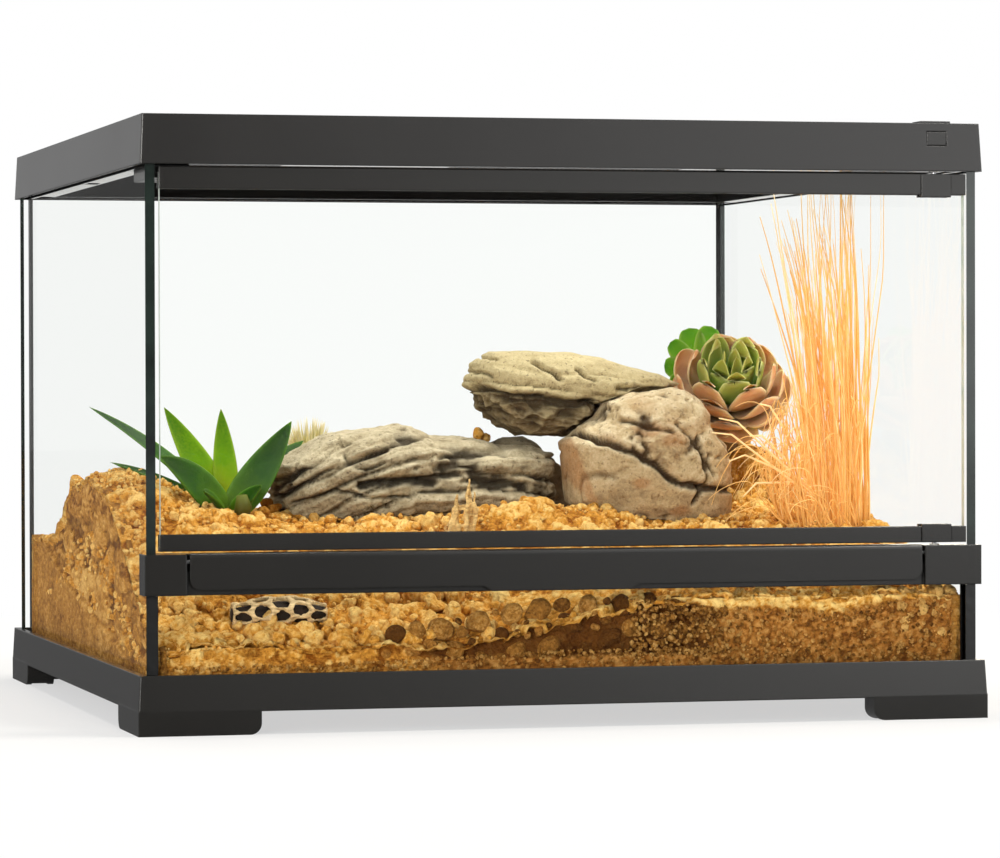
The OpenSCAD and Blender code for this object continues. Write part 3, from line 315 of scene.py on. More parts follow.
# ---------------------------------------------------------------- shaders
class Shader:
    """One node material. Inputs are numbers, colours or other nodes' outputs."""

    def __init__(self, name, world=None):
        self.mat = world or bpy.data.materials.new(name)
        self.mat.use_nodes = True
        self.tree = self.mat.node_tree
        self.tree.nodes.clear()
        self.coord = self.add("TexCoord").outputs["Generated" if world else "Object"]

    def add(self, kind, inputs=None, **settings):
        node = self.tree.nodes.new("ShaderNode" + kind)
        for key, value in settings.items():
            setattr(node, key, value)
        for key, value in (inputs or {}).items():
            if isinstance(value, bpy.types.NodeSocket):
                self.tree.links.new(value, node.inputs[key])
            else:
                node.inputs[key].default_value = value
        return node

    def mapped(self, stretch, turn=0.0):
        inputs = {"Vector": self.coord, "Rotation": (0.0, turn, 0.0), "Scale": stretch}
        return self.add("Mapping", inputs).outputs[0]

    def noise(self, size, detail=4.0, rough=0.55, stretch=None, twist=0.0, turn=0.0):
        vector = self.mapped(stretch, turn) if stretch else self.coord
        return self.add("TexNoise", {"Vector": vector, "Scale": 1 / size, "Detail": detail,
                                     "Roughness": rough, "Distortion": twist}).outputs["Fac"]

    def tone(self, name="tone"):
        return self.add("Attribute", attribute_name=name).outputs["Fac"]

    def ramp(self, value, *stops):
        node = self.add("ValToRGB", {"Fac": value})
        bar = node.color_ramp.elements
        while len(bar) < len(stops):
            bar.new(0.5)
        for e, (place, colour) in zip(bar, stops):
            e.position = place
            e.color = colour if isinstance(colour, tuple) else (colour, colour, colour, 1)
        return node.outputs["Color"]

    def tint(self, value, low, high):
        return self.ramp(value, (0.3, low), (0.7, high))

    def math(self, how, a, b=0.0, c=0.0, clamp=False):
        node = self.add("Math", {0: a, 1: b, 2: c}, operation=how)
        node.use_clamp = clamp
        return node.outputs[0]

    def times(self, a, b, clamp=False):
        return self.math("MULTIPLY", a, b, clamp=clamp)

    def scaled(self, value, share, start):
        """start, and share times the value."""
        return self.math("MULTIPLY_ADD", value, share, start)

    def weighed(self, *parts):
        """The sum of values, each times its share and, where one is given, counted from its middle."""
        total = -sum(share * middle[0] for _, share, *middle in parts if middle)
        for value, share, *_ in parts:
            total = self.scaled(value, share, total)
        return total

    def mix(self, fac, a, b, how="MIX"):
        return self.add("Mix", {0: fac, 6: a, 7: b}, data_type="RGBA", blend_type=how).outputs[2]

    def bump(self, height, distance, strength=1.0, normal=None):
        inputs = {"Height": height, "Distance": distance, "Strength": strength}
        if normal is not None:
            inputs["Normal"] = normal
        return self.add("Bump", inputs).outputs["Normal"]

    def principled(self, **inputs):
        names = {"color": "Base Color", "rough": "Roughness", "metal": "Metallic", "normal": "Normal",
                 "spec": "Specular IOR Level", "sss": "Subsurface Weight", "radius": "Subsurface Radius",
                 "sss_scale": "Subsurface Scale"}
        return self.add("BsdfPrincipled", {names[k]: v for k, v in inputs.items()}).outputs[0]

    def glow(self, colour, strength):
        return self.add("Emission", {"Color": colour, "Strength": strength}).outputs[0]

    def mix_shader(self, fac, a, b):
        return self.add("MixShader", {0: fac, 1: a, 2: b}).outputs[0]

    def xyz(self, kind="Object"):
        """Three numbers: the place, or the surface's direction with kind Normal."""
        vector = self.coord if kind == "Object" else self.add("TexCoord").outputs[kind]
        return self.add("SeparateXYZ", {"Vector": vector}).outputs

    def pointed(self, low=0.47, high=0.53):
        """0 in the hollows of a fine mesh and 1 on its edges, for painted shade in hollows and painted
        highlights on edges.
        """
        return self.ramp(self.add("NewGeometry").outputs["Pointiness"], (low, 0.0), (high, 1.0))

    def rounded(self, radius=0.0009):
        """The surface's direction with its edges rounded off."""
        return self.add("Bevel", {"Radius": radius}, samples=6).outputs[0]

    def blend(self, t, a, b):
        """A number between a and b."""
        return self.add("Mix", {0: t, 2: a, 3: b}, data_type="FLOAT").outputs[0]

    def done(self, surface):
        self.add("OutputMaterial", {"Surface": surface})
        return self.mat


def skin(s, low, high, rough, grain):
    """Moulded plastic with a fine grain and edges rounded off."""
    cloud = s.noise(0.06, 3)
    return s.principled(color=s.tint(cloud, low, high), rough=s.scaled(cloud, 0.06, rough - 0.03), spec=0.5,
                        normal=s.bump(s.noise(0.0009, 3), 0.0001, grain, s.rounded()))


def moulded_plastic(name, base, rough, grain):
    s = Shader(name)
    return s.done(skin(s, base, shade(base, 1.15), rough, grain))


def top_frame_plastic():
    """As the other mouldings, but painted shade inside (a darker, duller colour), and pale glossy pad faces
    under the rim as a painted highlight.
    """
    pads_z, inside_x = 0.2928, 0.2258
    s = Shader("top_frame_plastic")
    x, y, z = s.xyz()
    down = s.math("LESS_THAN", s.xyz("Normal")[2], -0.7)
    pads_painted_highlight = s.times(down, s.math("COMPARE", z, pads_z, 0.00012))
    inside = s.math("LESS_THAN", s.math("MAXIMUM", s.math("ABSOLUTE", x), s.math("ABSOLUTE", y)), inside_x)
    cloud = s.noise(0.06, 3)
    outer = skin(s, rgb(26, 25, 24), rgb(29, 28, 27), 0.23, 0.2)
    # the inside faces painted near black and less glossy: painted shade
    inside_painted_shade = s.principled(color=s.tint(cloud, rgb(10, 10, 10), rgb(14, 14, 14)), rough=0.7, spec=0.1,
                        normal=s.bump(s.noise(0.0009, 3), 0.0001, 0.3))
    # the pad faces under the rim painted pale grey and glossy: a painted highlight
    shine = s.principled(color=s.tint(cloud, rgb(150, 150, 150), rgb(165, 165, 165)), rough=0.06)
    return s.done(s.mix_shader(pads_painted_highlight, s.mix_shader(inside, outer, inside_painted_shade), shine))


def pane(name, axis, edge_dark=rgb(12, 18, 16), edge_light=rgb(30, 42, 37), back_half=False):
    """Float glass: large faces clear with a sheen, cut edges in an opaque colour that is partly the glass's
    green tint and partly painted shade, or clear at the back with back_half.
    """
    s = Shader(name)
    large = s.math("GREATER_THAN", s.math("ABSOLUTE", s.xyz("Normal")[axis]), 0.7)
    fresnel = s.add("Fresnel", {"IOR": 1.33}).outputs[0]
    dust = s.ramp(s.noise(0.05, 4), (0.35, 0.0), (0.8, 0.015))
    clear = s.add("BsdfTransparent", {"Color": (0.988, 0.993, 0.988, 1)}).outputs[0]
    shine = s.add("BsdfGlossy", {"Color": (1, 1, 1, 1), "Roughness": dust}).outputs[0]
    face = s.mix_shader(s.times(fresnel, 0.07), clear, shine)
    # the cut edges' opaque colour: partly the glass's own green tint, partly painted shade, and a painted
    # highlight where the colours given are pale
    depth = s.ramp(s.noise(0.02, 3), (0.3, edge_dark), (0.8, edge_light))
    edge = s.principled(color=depth, rough=0.1, spec=0.6)
    if back_half:
        x, y, z = s.xyz()
        at_back = s.times(s.math("GREATER_THAN", y, 0.2), s.math("COMPARE", x, -0.1114, 0.1114))
        edge = s.mix_shader(at_back, edge, clear)
    return s.done(s.mix_shader(large, edge, face))


def silicone():
    s = Shader("black_silicone")
    dents = s.bump(s.noise(0.006, 3), 0.0003, 0.6)
    return s.done(s.principled(color=rgb(18, 18, 18), rough=0.28, normal=dents))


def steel(name, base, rough):
    s = Shader(name)
    streak = s.noise(0.0012, 3, stretch=(1, 1, 0.15))
    return s.done(s.principled(color=s.ramp(streak, (0.3, base), (0.8, shade(base, 1.25))), metal=1.0,
                               rough=s.scaled(streak, 0.15, rough), normal=s.bump(streak, 0.00005, 0.4)))


def nylon():
    s = Shader("nylon")
    colour = s.tint(s.noise(0.004, 2), rgb(226, 222, 210), rgb(238, 235, 226))
    return s.done(s.principled(color=colour, rough=0.4, sss=0.2, radius=(0.003, 0.003, 0.002), sss_scale=1.0))


def soil(name, dark, mid, light, tone_share=0.5, fine=0.0016, second=None, stretch=None):
    """Dry clay: crumbs of several tones, with grains and pits, painted lighter on edges and darker in hollows
    as painted light and shade. 'brown' mixes in a second set of colours.
    """
    s = Shader(name)
    if stretch:
        s.coord = s.mapped(stretch)
    patch, grain, crumb = s.noise(0.04, 5), s.noise(fine, 6, 0.7), s.noise(fine * 4, 5, 0.65)
    bends = s.add("TexNoise", {"Vector": s.coord, "Scale": 250, "Detail": 3}).outputs["Color"]
    bent = s.mix(0.0016, s.coord, bends, "LINEAR_LIGHT")
    apart = s.add("TexVoronoi", {"Vector": bent, "Scale": 0.5 / fine}).outputs["Distance"]
    grains = s.math("SUBTRACT", 1.0, apart)
    rest = (1 - tone_share) / 2
    # pointiness in the level: edges painted lighter and hollows darker, a painted highlight and painted shade
    level = s.weighed((s.tone(), tone_share), (patch, rest), (crumb, rest), (grain, 0.5, 0.5),
                      (s.pointed(), 0.16, 0.5), (grains, 0.22, 0.6))
    colour = s.ramp(level, (0.24, dark), (0.5, mid), (0.76, light))
    if second:
        colour = s.mix(s.tone("brown"), colour, s.ramp(level, *zip((0.24, 0.5, 0.78), second)))
    # the 'hollow' number darkens the colour: painted shade in hollows and in the gaps between stones
    colour = s.mix(s.times(s.tone("hollow"), 0.9, clamp=True), colour, shade(dark, 0.30))
    normal = s.bump(grain, 0.0008, 0.9, s.bump(grains, 0.0014, 0.8, s.bump(crumb, 0.0030, 0.9)))
    return s.done(s.principled(color=colour, rough=0.95, normal=normal, spec=0.2))


def rock_shader(name, dark, mid, light, rust, strata, rust_share, turn):
    """Weathered stone: layers, pits and rust stains, lighter where it faces up as painted light, with painted
    highlights on edges and painted shade in hollows.
    """
    s = Shader(name)
    bands = s.noise(1 / 90, 6, 0.6, strata, 0.6, turn)
    fine, pits = s.noise(0.0015, 6, 0.7), s.noise(0.005, 4, 0.6)
    stain = s.noise(0.028, 5, 0.65, twist=0.8)
    # faces that look up count lighter: painted light from above
    level = s.weighed((bands, 0.42), (pits, 0.28), (fine, 0.32), (s.xyz("Normal")[2], 0.12))
    specks = s.ramp(s.noise(0.0022, 2, 0.5), (0.30, 1.0), (0.38, 0.0))
    stone = s.ramp(level, (0.34, dark), (0.5, mid), (0.68, light))
    worn = s.ramp(s.weighed((stain, 0.6), (s.tone(), 0.55)), (0.42, 0.0), (0.66, rust_share))
    colour = s.mix(worn, stone, s.ramp(fine, (0.3, shade(rust, 0.6)), (0.7, rust)))
    # edges screened lighter: a painted highlight
    colour = s.mix(s.times(s.pointed(0.46, 0.56), 0.35), colour, light, "SCREEN")
    # hollows and low pointiness darken the colour: painted shade
    deep = s.ramp(s.add("NewGeometry").outputs["Pointiness"], (0.40, 1.0), (0.485, 0.0))
    cavity_painted_shade = s.math("MAXIMUM", s.tone("hollow"), s.times(deep, 0.8))
    colour = s.mix(s.times(cavity_painted_shade, 0.9, clamp=True), colour, shade(dark, 0.35))
    colour = s.mix(s.times(specks, 0.55), colour, dark)
    normal = s.bump(fine, 0.0014, 1.0, s.bump(bands, 0.0012, 0.7, s.bump(pits, 0.0020, 0.9)))
    return s.done(s.principled(color=colour, rough=0.88, normal=normal, spec=0.3))


def leaf_shader(name, low, high, tip, rim, rim_share=0.6, through=0.25):
    """Plant flesh: pale at the foot, darker at the tip, with faint veins, a waxy skin and a rim."""
    s = Shader(name)
    mottle, grain = s.noise(0.008, 4), s.noise(0.0012, 4)
    colour = s.ramp(s.weighed((s.tone(), 1), (mottle, 0.4, 0.5)), (0.05, low), (0.5, high), (0.98, tip))
    colour = s.mix(0.18, colour, s.ramp(grain, (0.35, shade(high, 0.6)), (0.7, low)))
    colour = s.mix(s.times(s.tone("rim"), rim_share), colour, rim)
    waxy = s.principled(color=colour, rough=s.scaled(mottle, 0.2, 0.40), spec=0.2, sss=0.3, sss_scale=1.0,
                        radius=(0.004, 0.006, 0.002), normal=s.bump(grain, 0.0004, 0.7))
    return s.done(s.mix_shader(through, waxy, s.add("BsdfTranslucent", {"Color": colour}).outputs[0]))


def straw_shader():
    """Dry stems with the light behind them, the backlight painted as a faint glow."""
    s = Shader("dry_straw")
    streak = s.noise(0.0009, 4, stretch=(1, 1, 0.06))
    colour = s.ramp(s.weighed((s.tone(), 0.6), (streak, 0.4)), (0.10, rgb(176, 118, 48)),
                    (0.3, rgb(230, 180, 94)), (0.6, rgb(248, 214, 140)), (0.85, rgb(255, 238, 196)))
    bark = s.principled(color=colour, rough=0.5, normal=s.bump(streak, 0.0002, 0.5))
    stem = s.mix_shader(0.4, bark, s.add("BsdfTranslucent", {"Color": colour}).outputs[0])
    # a faint glow of the stem's colour: painted backlight
    return s.done(s.add("AddShader", {0: stem, 1: s.glow(colour, 0.18)}).outputs[0])


def wood_shader(name, dark, light):
    s = Shader(name)
    fibre = s.noise(0.0012, 5, 0.6, stretch=(0.25, 1, 1))
    colour = s.ramp(s.weighed((fibre, 0.6), (s.noise(0.012, 4), 0.4)), (0.34, dark), (0.62, light))
    return s.done(s.principled(color=colour, rough=0.85, normal=s.bump(fibre, 0.0005, 0.9)))


def black_wire():
    s = Shader("black_wire")
    fine = s.bump(s.noise(0.0005, 2), 0.00005, 0.4)
    colour = s.tint(s.noise(0.01, 3), rgb(22, 22, 22), rgb(40, 40, 40))
    return s.done(s.principled(color=colour, rough=0.45, metal=0.6, normal=fine))


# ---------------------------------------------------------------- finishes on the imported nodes
def finish(mat, *names):
    for name in names:
        nodes[name].data.materials.clear()
        nodes[name].data.materials.append(mat)


CORNERS = ("front_left", "front_right", "back_left", "back_right")
wire = black_wire()
finish(moulded_plastic("black_plastic", rgb(24, 23, 21), 0.22, 0.15), "base_frame", "hinge_insert",
       "release_button", "catch_block", "upper_hinge_block", "lower_hinge_block", "port_shutter_left",
       "port_shutter_right", "screen_frame", "door_upper_rail", "door_lower_rail",
       *("latch_" + corner for corner in CORNERS))
finish(moulded_plastic("rail_plastic", rgb(22, 21, 19), 0.22, 0.15), "front_rail", "flap")
finish(top_frame_plastic(), "top_frame")
finish(pane("floor_glass", 2), "floor_glass")
finish(pane("side_glass", 0, back_half=True), "left_glass", "right_glass")
finish(pane("back_glass", 1), "back_glass", "front_glass")
# the door's cut edges painted pale: a painted highlight
finish(pane("door_glass", 1, rgb(170, 186, 172), rgb(222, 232, 222)), "door_glass")
finish(wire, "vent_strip")
finish(steel("magnet_steel", rgb(120, 120, 122), 0.35), "door_magnet")
finish(steel("bright_steel", rgb(168, 168, 170), 0.25), "flap_pins", "flap_spring_left", "flap_spring_right",
       "release_spring", "pivot_pins", "strike_plate")
finish(nylon(), "upper_bush", "lower_bush")
finish(silicone(), "seam_floor", *("seam_" + corner for corner in CORNERS))


# ---------------------------------------------------------------- screen of woven wire
def woven_screen():
    """Wires in both directions, each over and under the next, in place of the screen's coarse grid."""
    lo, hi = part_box("screen_mesh")
    pitch, r = 0.004, 0.00022
    across_r, up_r = r * np.array([(math.cos(a), math.sin(a)) for a in (0.5236, 2.618, 4.712)]).T
    wires = []
    for axis in (0, 1):
        (a0, a1), (b0, b1) = ((lo.x, hi.x), (lo.y, hi.y))[::1 - 2 * axis]
        count, steps = int((b1 - b0) / pitch), int((a1 - a0) / pitch)
        k, last = np.arange(steps + 1)[:, None], 3 * steps
        faces = tube_sides(steps + 1, 3) + [[2, 1, 0], [last, last + 1, last + 2]]
        for i in range(1, count):
            weave = (lo.z + hi.z) / 2 + r * 0.8 * np.where((i + k + axis) % 2, 1, -1)
            along, across, up = np.broadcast_arrays(a0 + (a1 - a0) * k / steps,
                                                    b0 + (b1 - b0) * i / count + across_r, weave + up_r)
            points = np.stack([across, along, up] if axis else [along, across, up], 2).reshape(-1, 3)
            wires.append((points, [f[::-1] for f in faces] if axis else faces))
    obj = new_object("screen_wires", *joined(wires), wire, "screen")
    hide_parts("screen_mesh")


woven_screen()

# ---------------------------------------------------------------- soil
substrate_tree = bvh_of(nodes["substrate"])
CELLS = 268
grid = np.linspace(-IN_X, IN_X, CELLS + 1)
heights = np.zeros((CELLS + 1, CELLS + 1))
for j, gy in enumerate(grid):
    for i, gx in enumerate(grid):
        hit = substrate_tree.ray_cast(Vector((gx * 0.985, gy * 0.985, 0.30)), Vector((0, 0, -1)))[0]
        heights[j, i] = hit.z if hit else 0.1
for _ in range(10):
    pad = np.pad(heights, 1, mode="edge")
    heights = (pad[:-2, 1:-1] + pad[2:, 1:-1] + pad[1:-1, :-2] + pad[1:-1, 2:] + 4 * heights) / 8

grid_x, grid_y = np.meshgrid(grid, grid)
# a heap before the rocks, and a hollow by the back half of the left pane
heights += 0.0095 * np.exp(-((grid_x - 0.024) / 0.048) ** 2 - ((grid_y + 0.080) / 0.034) ** 2)
heights -= (0.013 * smooth(0.084, 0.098, grid_y) * smooth(0.235, 0.12, grid_y)
            * np.exp(-((grid_x + 0.22) / 0.05) ** 2))


def ground(x, y):
    """Height of the smooth soil at arrays of x and y."""
    u = np.clip((np.asarray(x) + IN_X) / (2 * IN_X) * CELLS, 0, CELLS - 0.001)
    v = np.clip((np.asarray(y) + IN_Y) / (2 * IN_Y) * CELLS, 0, CELLS - 0.001)
    i, j = u.astype(int), v.astype(int)
    fu, fv = u - i, v - j
    return ((heights[j, i] * (1 - fu) + heights[j, i + 1] * fu) * (1 - fv)
            + (heights[j + 1, i] * (1 - fu) + heights[j + 1, i + 1] * fu) * fv)


GRAVEL = (rgb(104, 58, 12), rgb(168, 108, 42), rgb(206, 152, 82))
clay = soil("golden_clay", rgb(146, 82, 12), rgb(222, 156, 60), rgb(255, 216, 134), second=GRAVEL)
side_clay = soil("packed_clay", rgb(132, 80, 22), rgb(196, 138, 58), rgb(236, 186, 106), second=GRAVEL,
                 stretch=(1.0, 0.4, 1.0))
stone_mix = soil("brown_pebbles", rgb(104, 62, 16), rgb(178, 122, 52), rgb(236, 186, 108), 0.9, 0.0010)
# the tops of the stones by the front pane and of the sand by the left pane: places and heights
STONE_LINE = ((-0.10, -0.06, -0.015, 0.05, 0.072, 0.122, 0.145, 0.184, 0.218),
              (0.040, 0.056, 0.066, 0.066, 0.062, 0.060, 0.058, 0.064, 0.067))
SAND_LINE = ((-0.22, -0.13, 0.08, 0.21), (0.031, 0.036, 0.062, 0.098))


def crumbled(p, crumbly):
    """How far broken earth stands out at points p, and a tone for each clod."""
    spot = swayed(p, 0.0035, 0.008, 3, 5)
    large, tone_a = clods(spot, 0.015, 70)
    middle, tone_b = clods(spot, 0.0068, 80)
    small, tone_c = clods(spot, 0.0033, 84)
    share = smooth(0.35, 0.75, tone_a) * crumbly
    out = 0.0052 * large * share + 0.0026 * middle * smooth(0.2, 0.6, tone_b) + 0.0011 * small
    return out + 0.0005 * fbm(p, 0.002, 2, 9), 0.35 * tone_a + 0.4 * tone_b + 0.25 * tone_c


def soil_block():
    """The bed of earth: a crumbled top, finer towards the front, and sides that keep back from the panes."""
    across, deep, layers, set_back = 330, 230, 17, 0.0078
    t = np.linspace(0, 1, deep + 1)
    gx, gy = np.meshgrid(np.linspace(-IN_X, IN_X, across + 1), -IN_Y + 2 * IN_Y * (0.48 * t + 0.52 * t * t))
    flat = np.stack([gx.ravel(), gy.ravel(), ground(gx.ravel(), gy.ravel())], 1)
    crumbly = 0.35 + 0.65 * smooth(-0.25, 0.25, fbm(flat, 0.05, 3, 33))
    out, tone = crumbled(flat * (1, 1, 0.6), crumbly)
    top = flat.copy()
    top[:, 2] += 0.0022 * fbm(flat, 0.03, 3, 3) + out - 0.0030
    faces, upper = grid_faces(across, deep)
    outer, count = top[upper], len(upper)
    inward = np.where(np.abs(outer[:, :2]) > IN_X - 1e-6, -np.sign(outer[:, :2]), 0)
    verts = [top]
    for k in range(1, layers + 1):
        ring = outer.copy()
        ring[:, 2] += (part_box("substrate")[0].z - outer[:, 2]) * k / layers
        if k < layers:
            ring[:, :2] += inward * set_back * min(1, k / 2)
        lower = len(top) + (k - 1) * count + np.arange(count)
        faces += band(upper, lower)
        verts.append(ring)
        upper = lower
    faces.append(upper[::-1].tolist())
    obj = new_object("soil_bed", np.concatenate(verts), faces, clay)
    tones = np.full(len(obj.data.vertices), 0.5)
    tones[:len(tone)] = np.clip(0.5 + 1.1 * (tone - 0.5) + 0.25 * fbm(flat, 0.03, 3, 12), 0, 1)
    set_tone(obj, tones)
    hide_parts("substrate")


def zones(p, along, height, axis, sign):
    """How brown, fine and sandy the earth behind a pane is, and where it is painted paler as painted light
    from above, each from 0 to 1.
    """
    none = 0 * height
    if axis and sign < 0:
        over = height - np.interp(along, *STONE_LINE) - 0.003 * fbm(p, 0.012, 2, 4)
        brown = smooth(-0.105, -0.055, along + 0.02 * fbm(p, 0.02, 3, 2)) * smooth(0.003, -0.003, over)
        brown = np.maximum(brown, 0.45 * smooth(0.040, 0.034, height))
        fine = np.maximum(smooth(0.05, 0.10, along), smooth(0.040, 0.035, height))
        return brown, fine, none, smooth(-0.001, 0.001, over)
    if sign < 0:
        over = height - np.interp(along, *SAND_LINE) + 0.006 * fbm(p, 0.03, 2, 8)
        brown = 0.30 * smooth(0.100, 0.112, height + 0.010 * fbm(p, 0.03, 2, 3))
        fine = smooth(0.100, 0.108, height + 0.006 * fbm(p, 0.03, 2, 3))
        return brown, fine, smooth(0.004, -0.004, over), none
    return (0.3 * smooth(0.0, 0.3, fbm(p, 0.08, 3, 6)), smooth(-0.1, 0.2, fbm(p, 0.09, 2, 14)),
            smooth(0.1, 0.35, fbm(p, 0.11, 2, 16)), none)


def pressed(p, brown, fine, sandy, front):
    """How far earth stands back from a pane at points p, its tone, and how deep its hollows are, for painted
    shade in the hollows and between the brown stones.
    """
    spot = swayed(p, 0.0030, 0.008, 3, 45)
    (big, tone_a), (mid, tone_b), (small, tone_c), (tiny, tone_d) = (
        clods(spot, size, seed) for size, seed in ((0.0150, 91), (0.0075, 93), (0.0034, 95), (0.0021, 97)))
    relief = np.maximum(big * smooth(0.45, 0.7, tone_a), 0.75 * mid * smooth(0.2, 0.5, tone_b))
    relief = np.maximum(relief, 0.45 + 0.35 * small * relief)
    relief = between(relief, 0.62 + 0.38 * np.maximum(small, 0.7 * tiny), fine)
    relief = between(relief, 0.90 + 0.08 * tiny, sandy)
    tone = between(0.4 * tone_a + 0.35 * tone_b + 0.25 * tone_c, 0.6 * tone_c + 0.4 * tone_d, fine)
    tone = between(tone, 0.4 + 0.2 * tone_d, sandy)
    back = np.where(sandy > 0.5, 0.0012, 0.0050) * (1 - relief)
    loose = front * (1 - fine) * (1 - sandy)
    # painted shade: deep places, and the gaps among the brown stones by the front pane
    hollow = np.maximum(np.clip(1.35 - 2.1 * relief, 0, 0.85), 0.95 * smooth(0.4, 0.9, brown) * loose)
    return back + 0.0042 * brown * loose, tone, hollow


def soil_face(name, axis, sign):
    """The earth pressed against one pane: a thin slab, with clods, stones and gravel in relief."""
    wide, rows, thick, deepest = 400, 60 if axis else 76, 0.0062, 0.0055
    k, front = 1 if axis else 0, float(axis and sign < 0)
    along = np.linspace(-IN_X, IN_X, wide + 1)
    wall = along * 0 + sign * (IN_X - 0.0012)
    top = ground(along, wall) if axis else ground(wall, along)
    u, v = np.meshgrid(along, np.linspace(0, 1, rows + 1))
    p = np.full((u.size, 3), sign * IN_X)
    p[:, 1 - k] = a = u.ravel()
    p[:, 2] = (SOIL_FOOT + v * (top - SOIL_FOOT)).ravel()
    brown, fine, sandy, pale = zones(p, a, p[:, 2], axis, sign)
    back_off, tone, hollow = pressed(p * (1, 1 if axis else 0.4, 1), brown, fine, sandy, front)
    back_off += 0.0003 + 0.0003 * (1 + fbm(p, 0.0025, 2, 99))
    p[:, k] = sign * (IN_X - np.clip(back_off, 0.0002, deepest))
    p[:, 2] += 0.0016 * fbm(p, 0.012, 3, 55) * (v.ravel() > 0.999)
    faces, rim = grid_faces(wide, rows)
    back = p[rim].copy()
    back[:, k] = sign * (IN_X - thick)
    low = len(p) + np.arange(len(rim))
    faces += band(rim, low) + [low[::-1].tolist()]
    if (sign > 0) == bool(axis):
        faces = [f[::-1] for f in faces]
    obj = new_object(name, np.concatenate([p, back]), faces, clay if axis else side_clay)
    # the earth above the stones by the front pane, right of the middle, is painted paler: painted light from
    # above; behind the side panes the tone is a little lower
    lift = 0.30 * pale * smooth(-0.02, 0.03, a) - 0.10 * (axis == 0)
    tone = np.clip(0.5 + 1.2 * (tone - 0.5) + 0.2 * fbm(p, 0.02, 2, 71) + lift, 0, 1)
    # 'hollow' carries the painted shade
    for what, values in (("tone", tone), ("brown", brown), ("hollow", hollow)):
        set_tone(obj, np.concatenate([values, np.full(len(rim), 0.5)]), what)


soil_block()
for name, axis, sign in (("front", 1, -1), ("back", 1, 1), ("left", 0, -1), ("right", 0, 1)):
    soil_face("earth_at_" + name, axis, sign)

# ---------------------------------------------------------------- rocks
grey_rock = rock_shader("grey_layered_rock", rgb(72, 56, 36), rgb(158, 142, 110), rgb(212, 198, 164),
                        rgb(150, 108, 62), (0.3, 0.5, 1.5), 0.3, 0.35)
cap_rock = rock_shader("olive_slab", rgb(92, 70, 42), rgb(178, 158, 114), rgb(212, 196, 150),
                       rgb(112, 82, 50), (0.35, 0.5, 1.4), 0.75, -0.12)
tan_rock = rock_shader("tan_boulder", rgb(110, 76, 42), rgb(196, 168, 122), rgb(236, 216, 176),
                       rgb(188, 122, 58), (0.8, 0.8, 1.2), 0.7, 0.3)


def carve(obj, displace):
    """Moves each point of a stone along its normal, and notes how deep it lies, for the shader's painted
    shade in the hollows.
    """
    co = points_of(obj)
    normal = normals_of(obj)
    push, extra = displace(co, normal)
    set_points(obj, co + normal * push[:, None])
    spread = np.percentile(push, [5, 50])
    # how deep each point lies: painted shade for the hollows
    set_tone(obj, np.clip((spread[1] - push) / max(spread[1] - spread[0], 1e-6), 0, 1) ** 1.5, "hollow")
    set_tone(obj, extra)


def beds(co, height, thick, seed, run=0.03):
    """How far a layered stone stands out: each bed has its own broken edge and a lip above a recess."""
    bed, part = np.divmod(height / thick, 1)
    x, y = co[:, 0] / run, co[:, 1] / run
    reach = noise3(np.stack([x + bed * 7.31, y - bed * 3.7, bed * 1.73], 1), seed)
    reach += 0.5 * noise3(np.stack([x * 3 + bed * 3.1, y * 3, bed * 2.1], 1), seed + 1)
    lip = smooth(0.0, 0.2, part) * (1 - 0.7 * smooth(0.7, 1.0, part))
    return reach + 0.8 * (lip - 0.5)


def facing(normal):
    """1 on the upright faces of a stone and 0 on its top and underside."""
    return np.clip(1.15 - np.abs(normal[:, 2]), 0, 1)


def cut(co, marks):
    """How deep cracks go, from (x and z places, width, depth) for each as seen from the front."""
    return sum(depth * line_near(co, line, width) for line, width, depth in marks)


def ledge_shape(co, normal):
    side = facing(normal)
    rise = np.interp(co[:, 0], (-0.12, -0.08, -0.045, -0.01, 0.02, 0.045),
                     (0, 0.021, 0.034, 0.037, 0.035, 0.030))
    height = co[:, 2] - rise + 0.0035 * fbm(co, 0.035, 3, 41)
    push = side * (0.0040 * beds(co, height, 0.0105, 43) + 0.0011 * beds(co, height, 0.0036, 45, 0.015))
    push += 0.0022 * fbm(co, 0.018, 4, 44) - 0.0030 * (1 - smooth(0, 0.12, ridged(co, 0.024, 2, 47)))
    push += 0.0009 * fbm(co, 0.004, 3, 49)
    push -= side * cut(co + 0.0022 * fbm(co, 0.012, 3, 48)[:, None], (
        (((-0.076, 0.123), (-0.060, 0.126), (-0.050, 0.1265), (-0.035, 0.124)), 0.0018, 0.0080),
        (((-0.052, 0.151), (-0.033, 0.146), (-0.012, 0.142), (0.008, 0.141)), 0.0030, 0.0065),
        (((-0.034, 0.131), (-0.022, 0.136), (-0.009, 0.135)), 0.0040, 0.0055),
        (((-0.010, 0.127), (0.007, 0.124), (0.020, 0.121)), 0.0034, 0.0065),
        (((-0.115, 0.117), (-0.098, 0.129), (-0.081, 0.137), (-0.061, 0.142)), 0.0012, 0.0045),
        (((-0.120, 0.118), (-0.106, 0.133), (-0.090, 0.144), (-0.072, 0.150)), 0.0012, 0.0035),
        (((-0.110, 0.113), (-0.090, 0.120), (-0.070, 0.116), (-0.048, 0.117)), 0.0010, 0.0035)))
    # more rust stain to the lower right, under the overhang: partly stain, partly painted shade
    return push, 0.25 * smooth(-0.06, 0.0, co[:, 0]) * smooth(0.13, 0.12, co[:, 2])


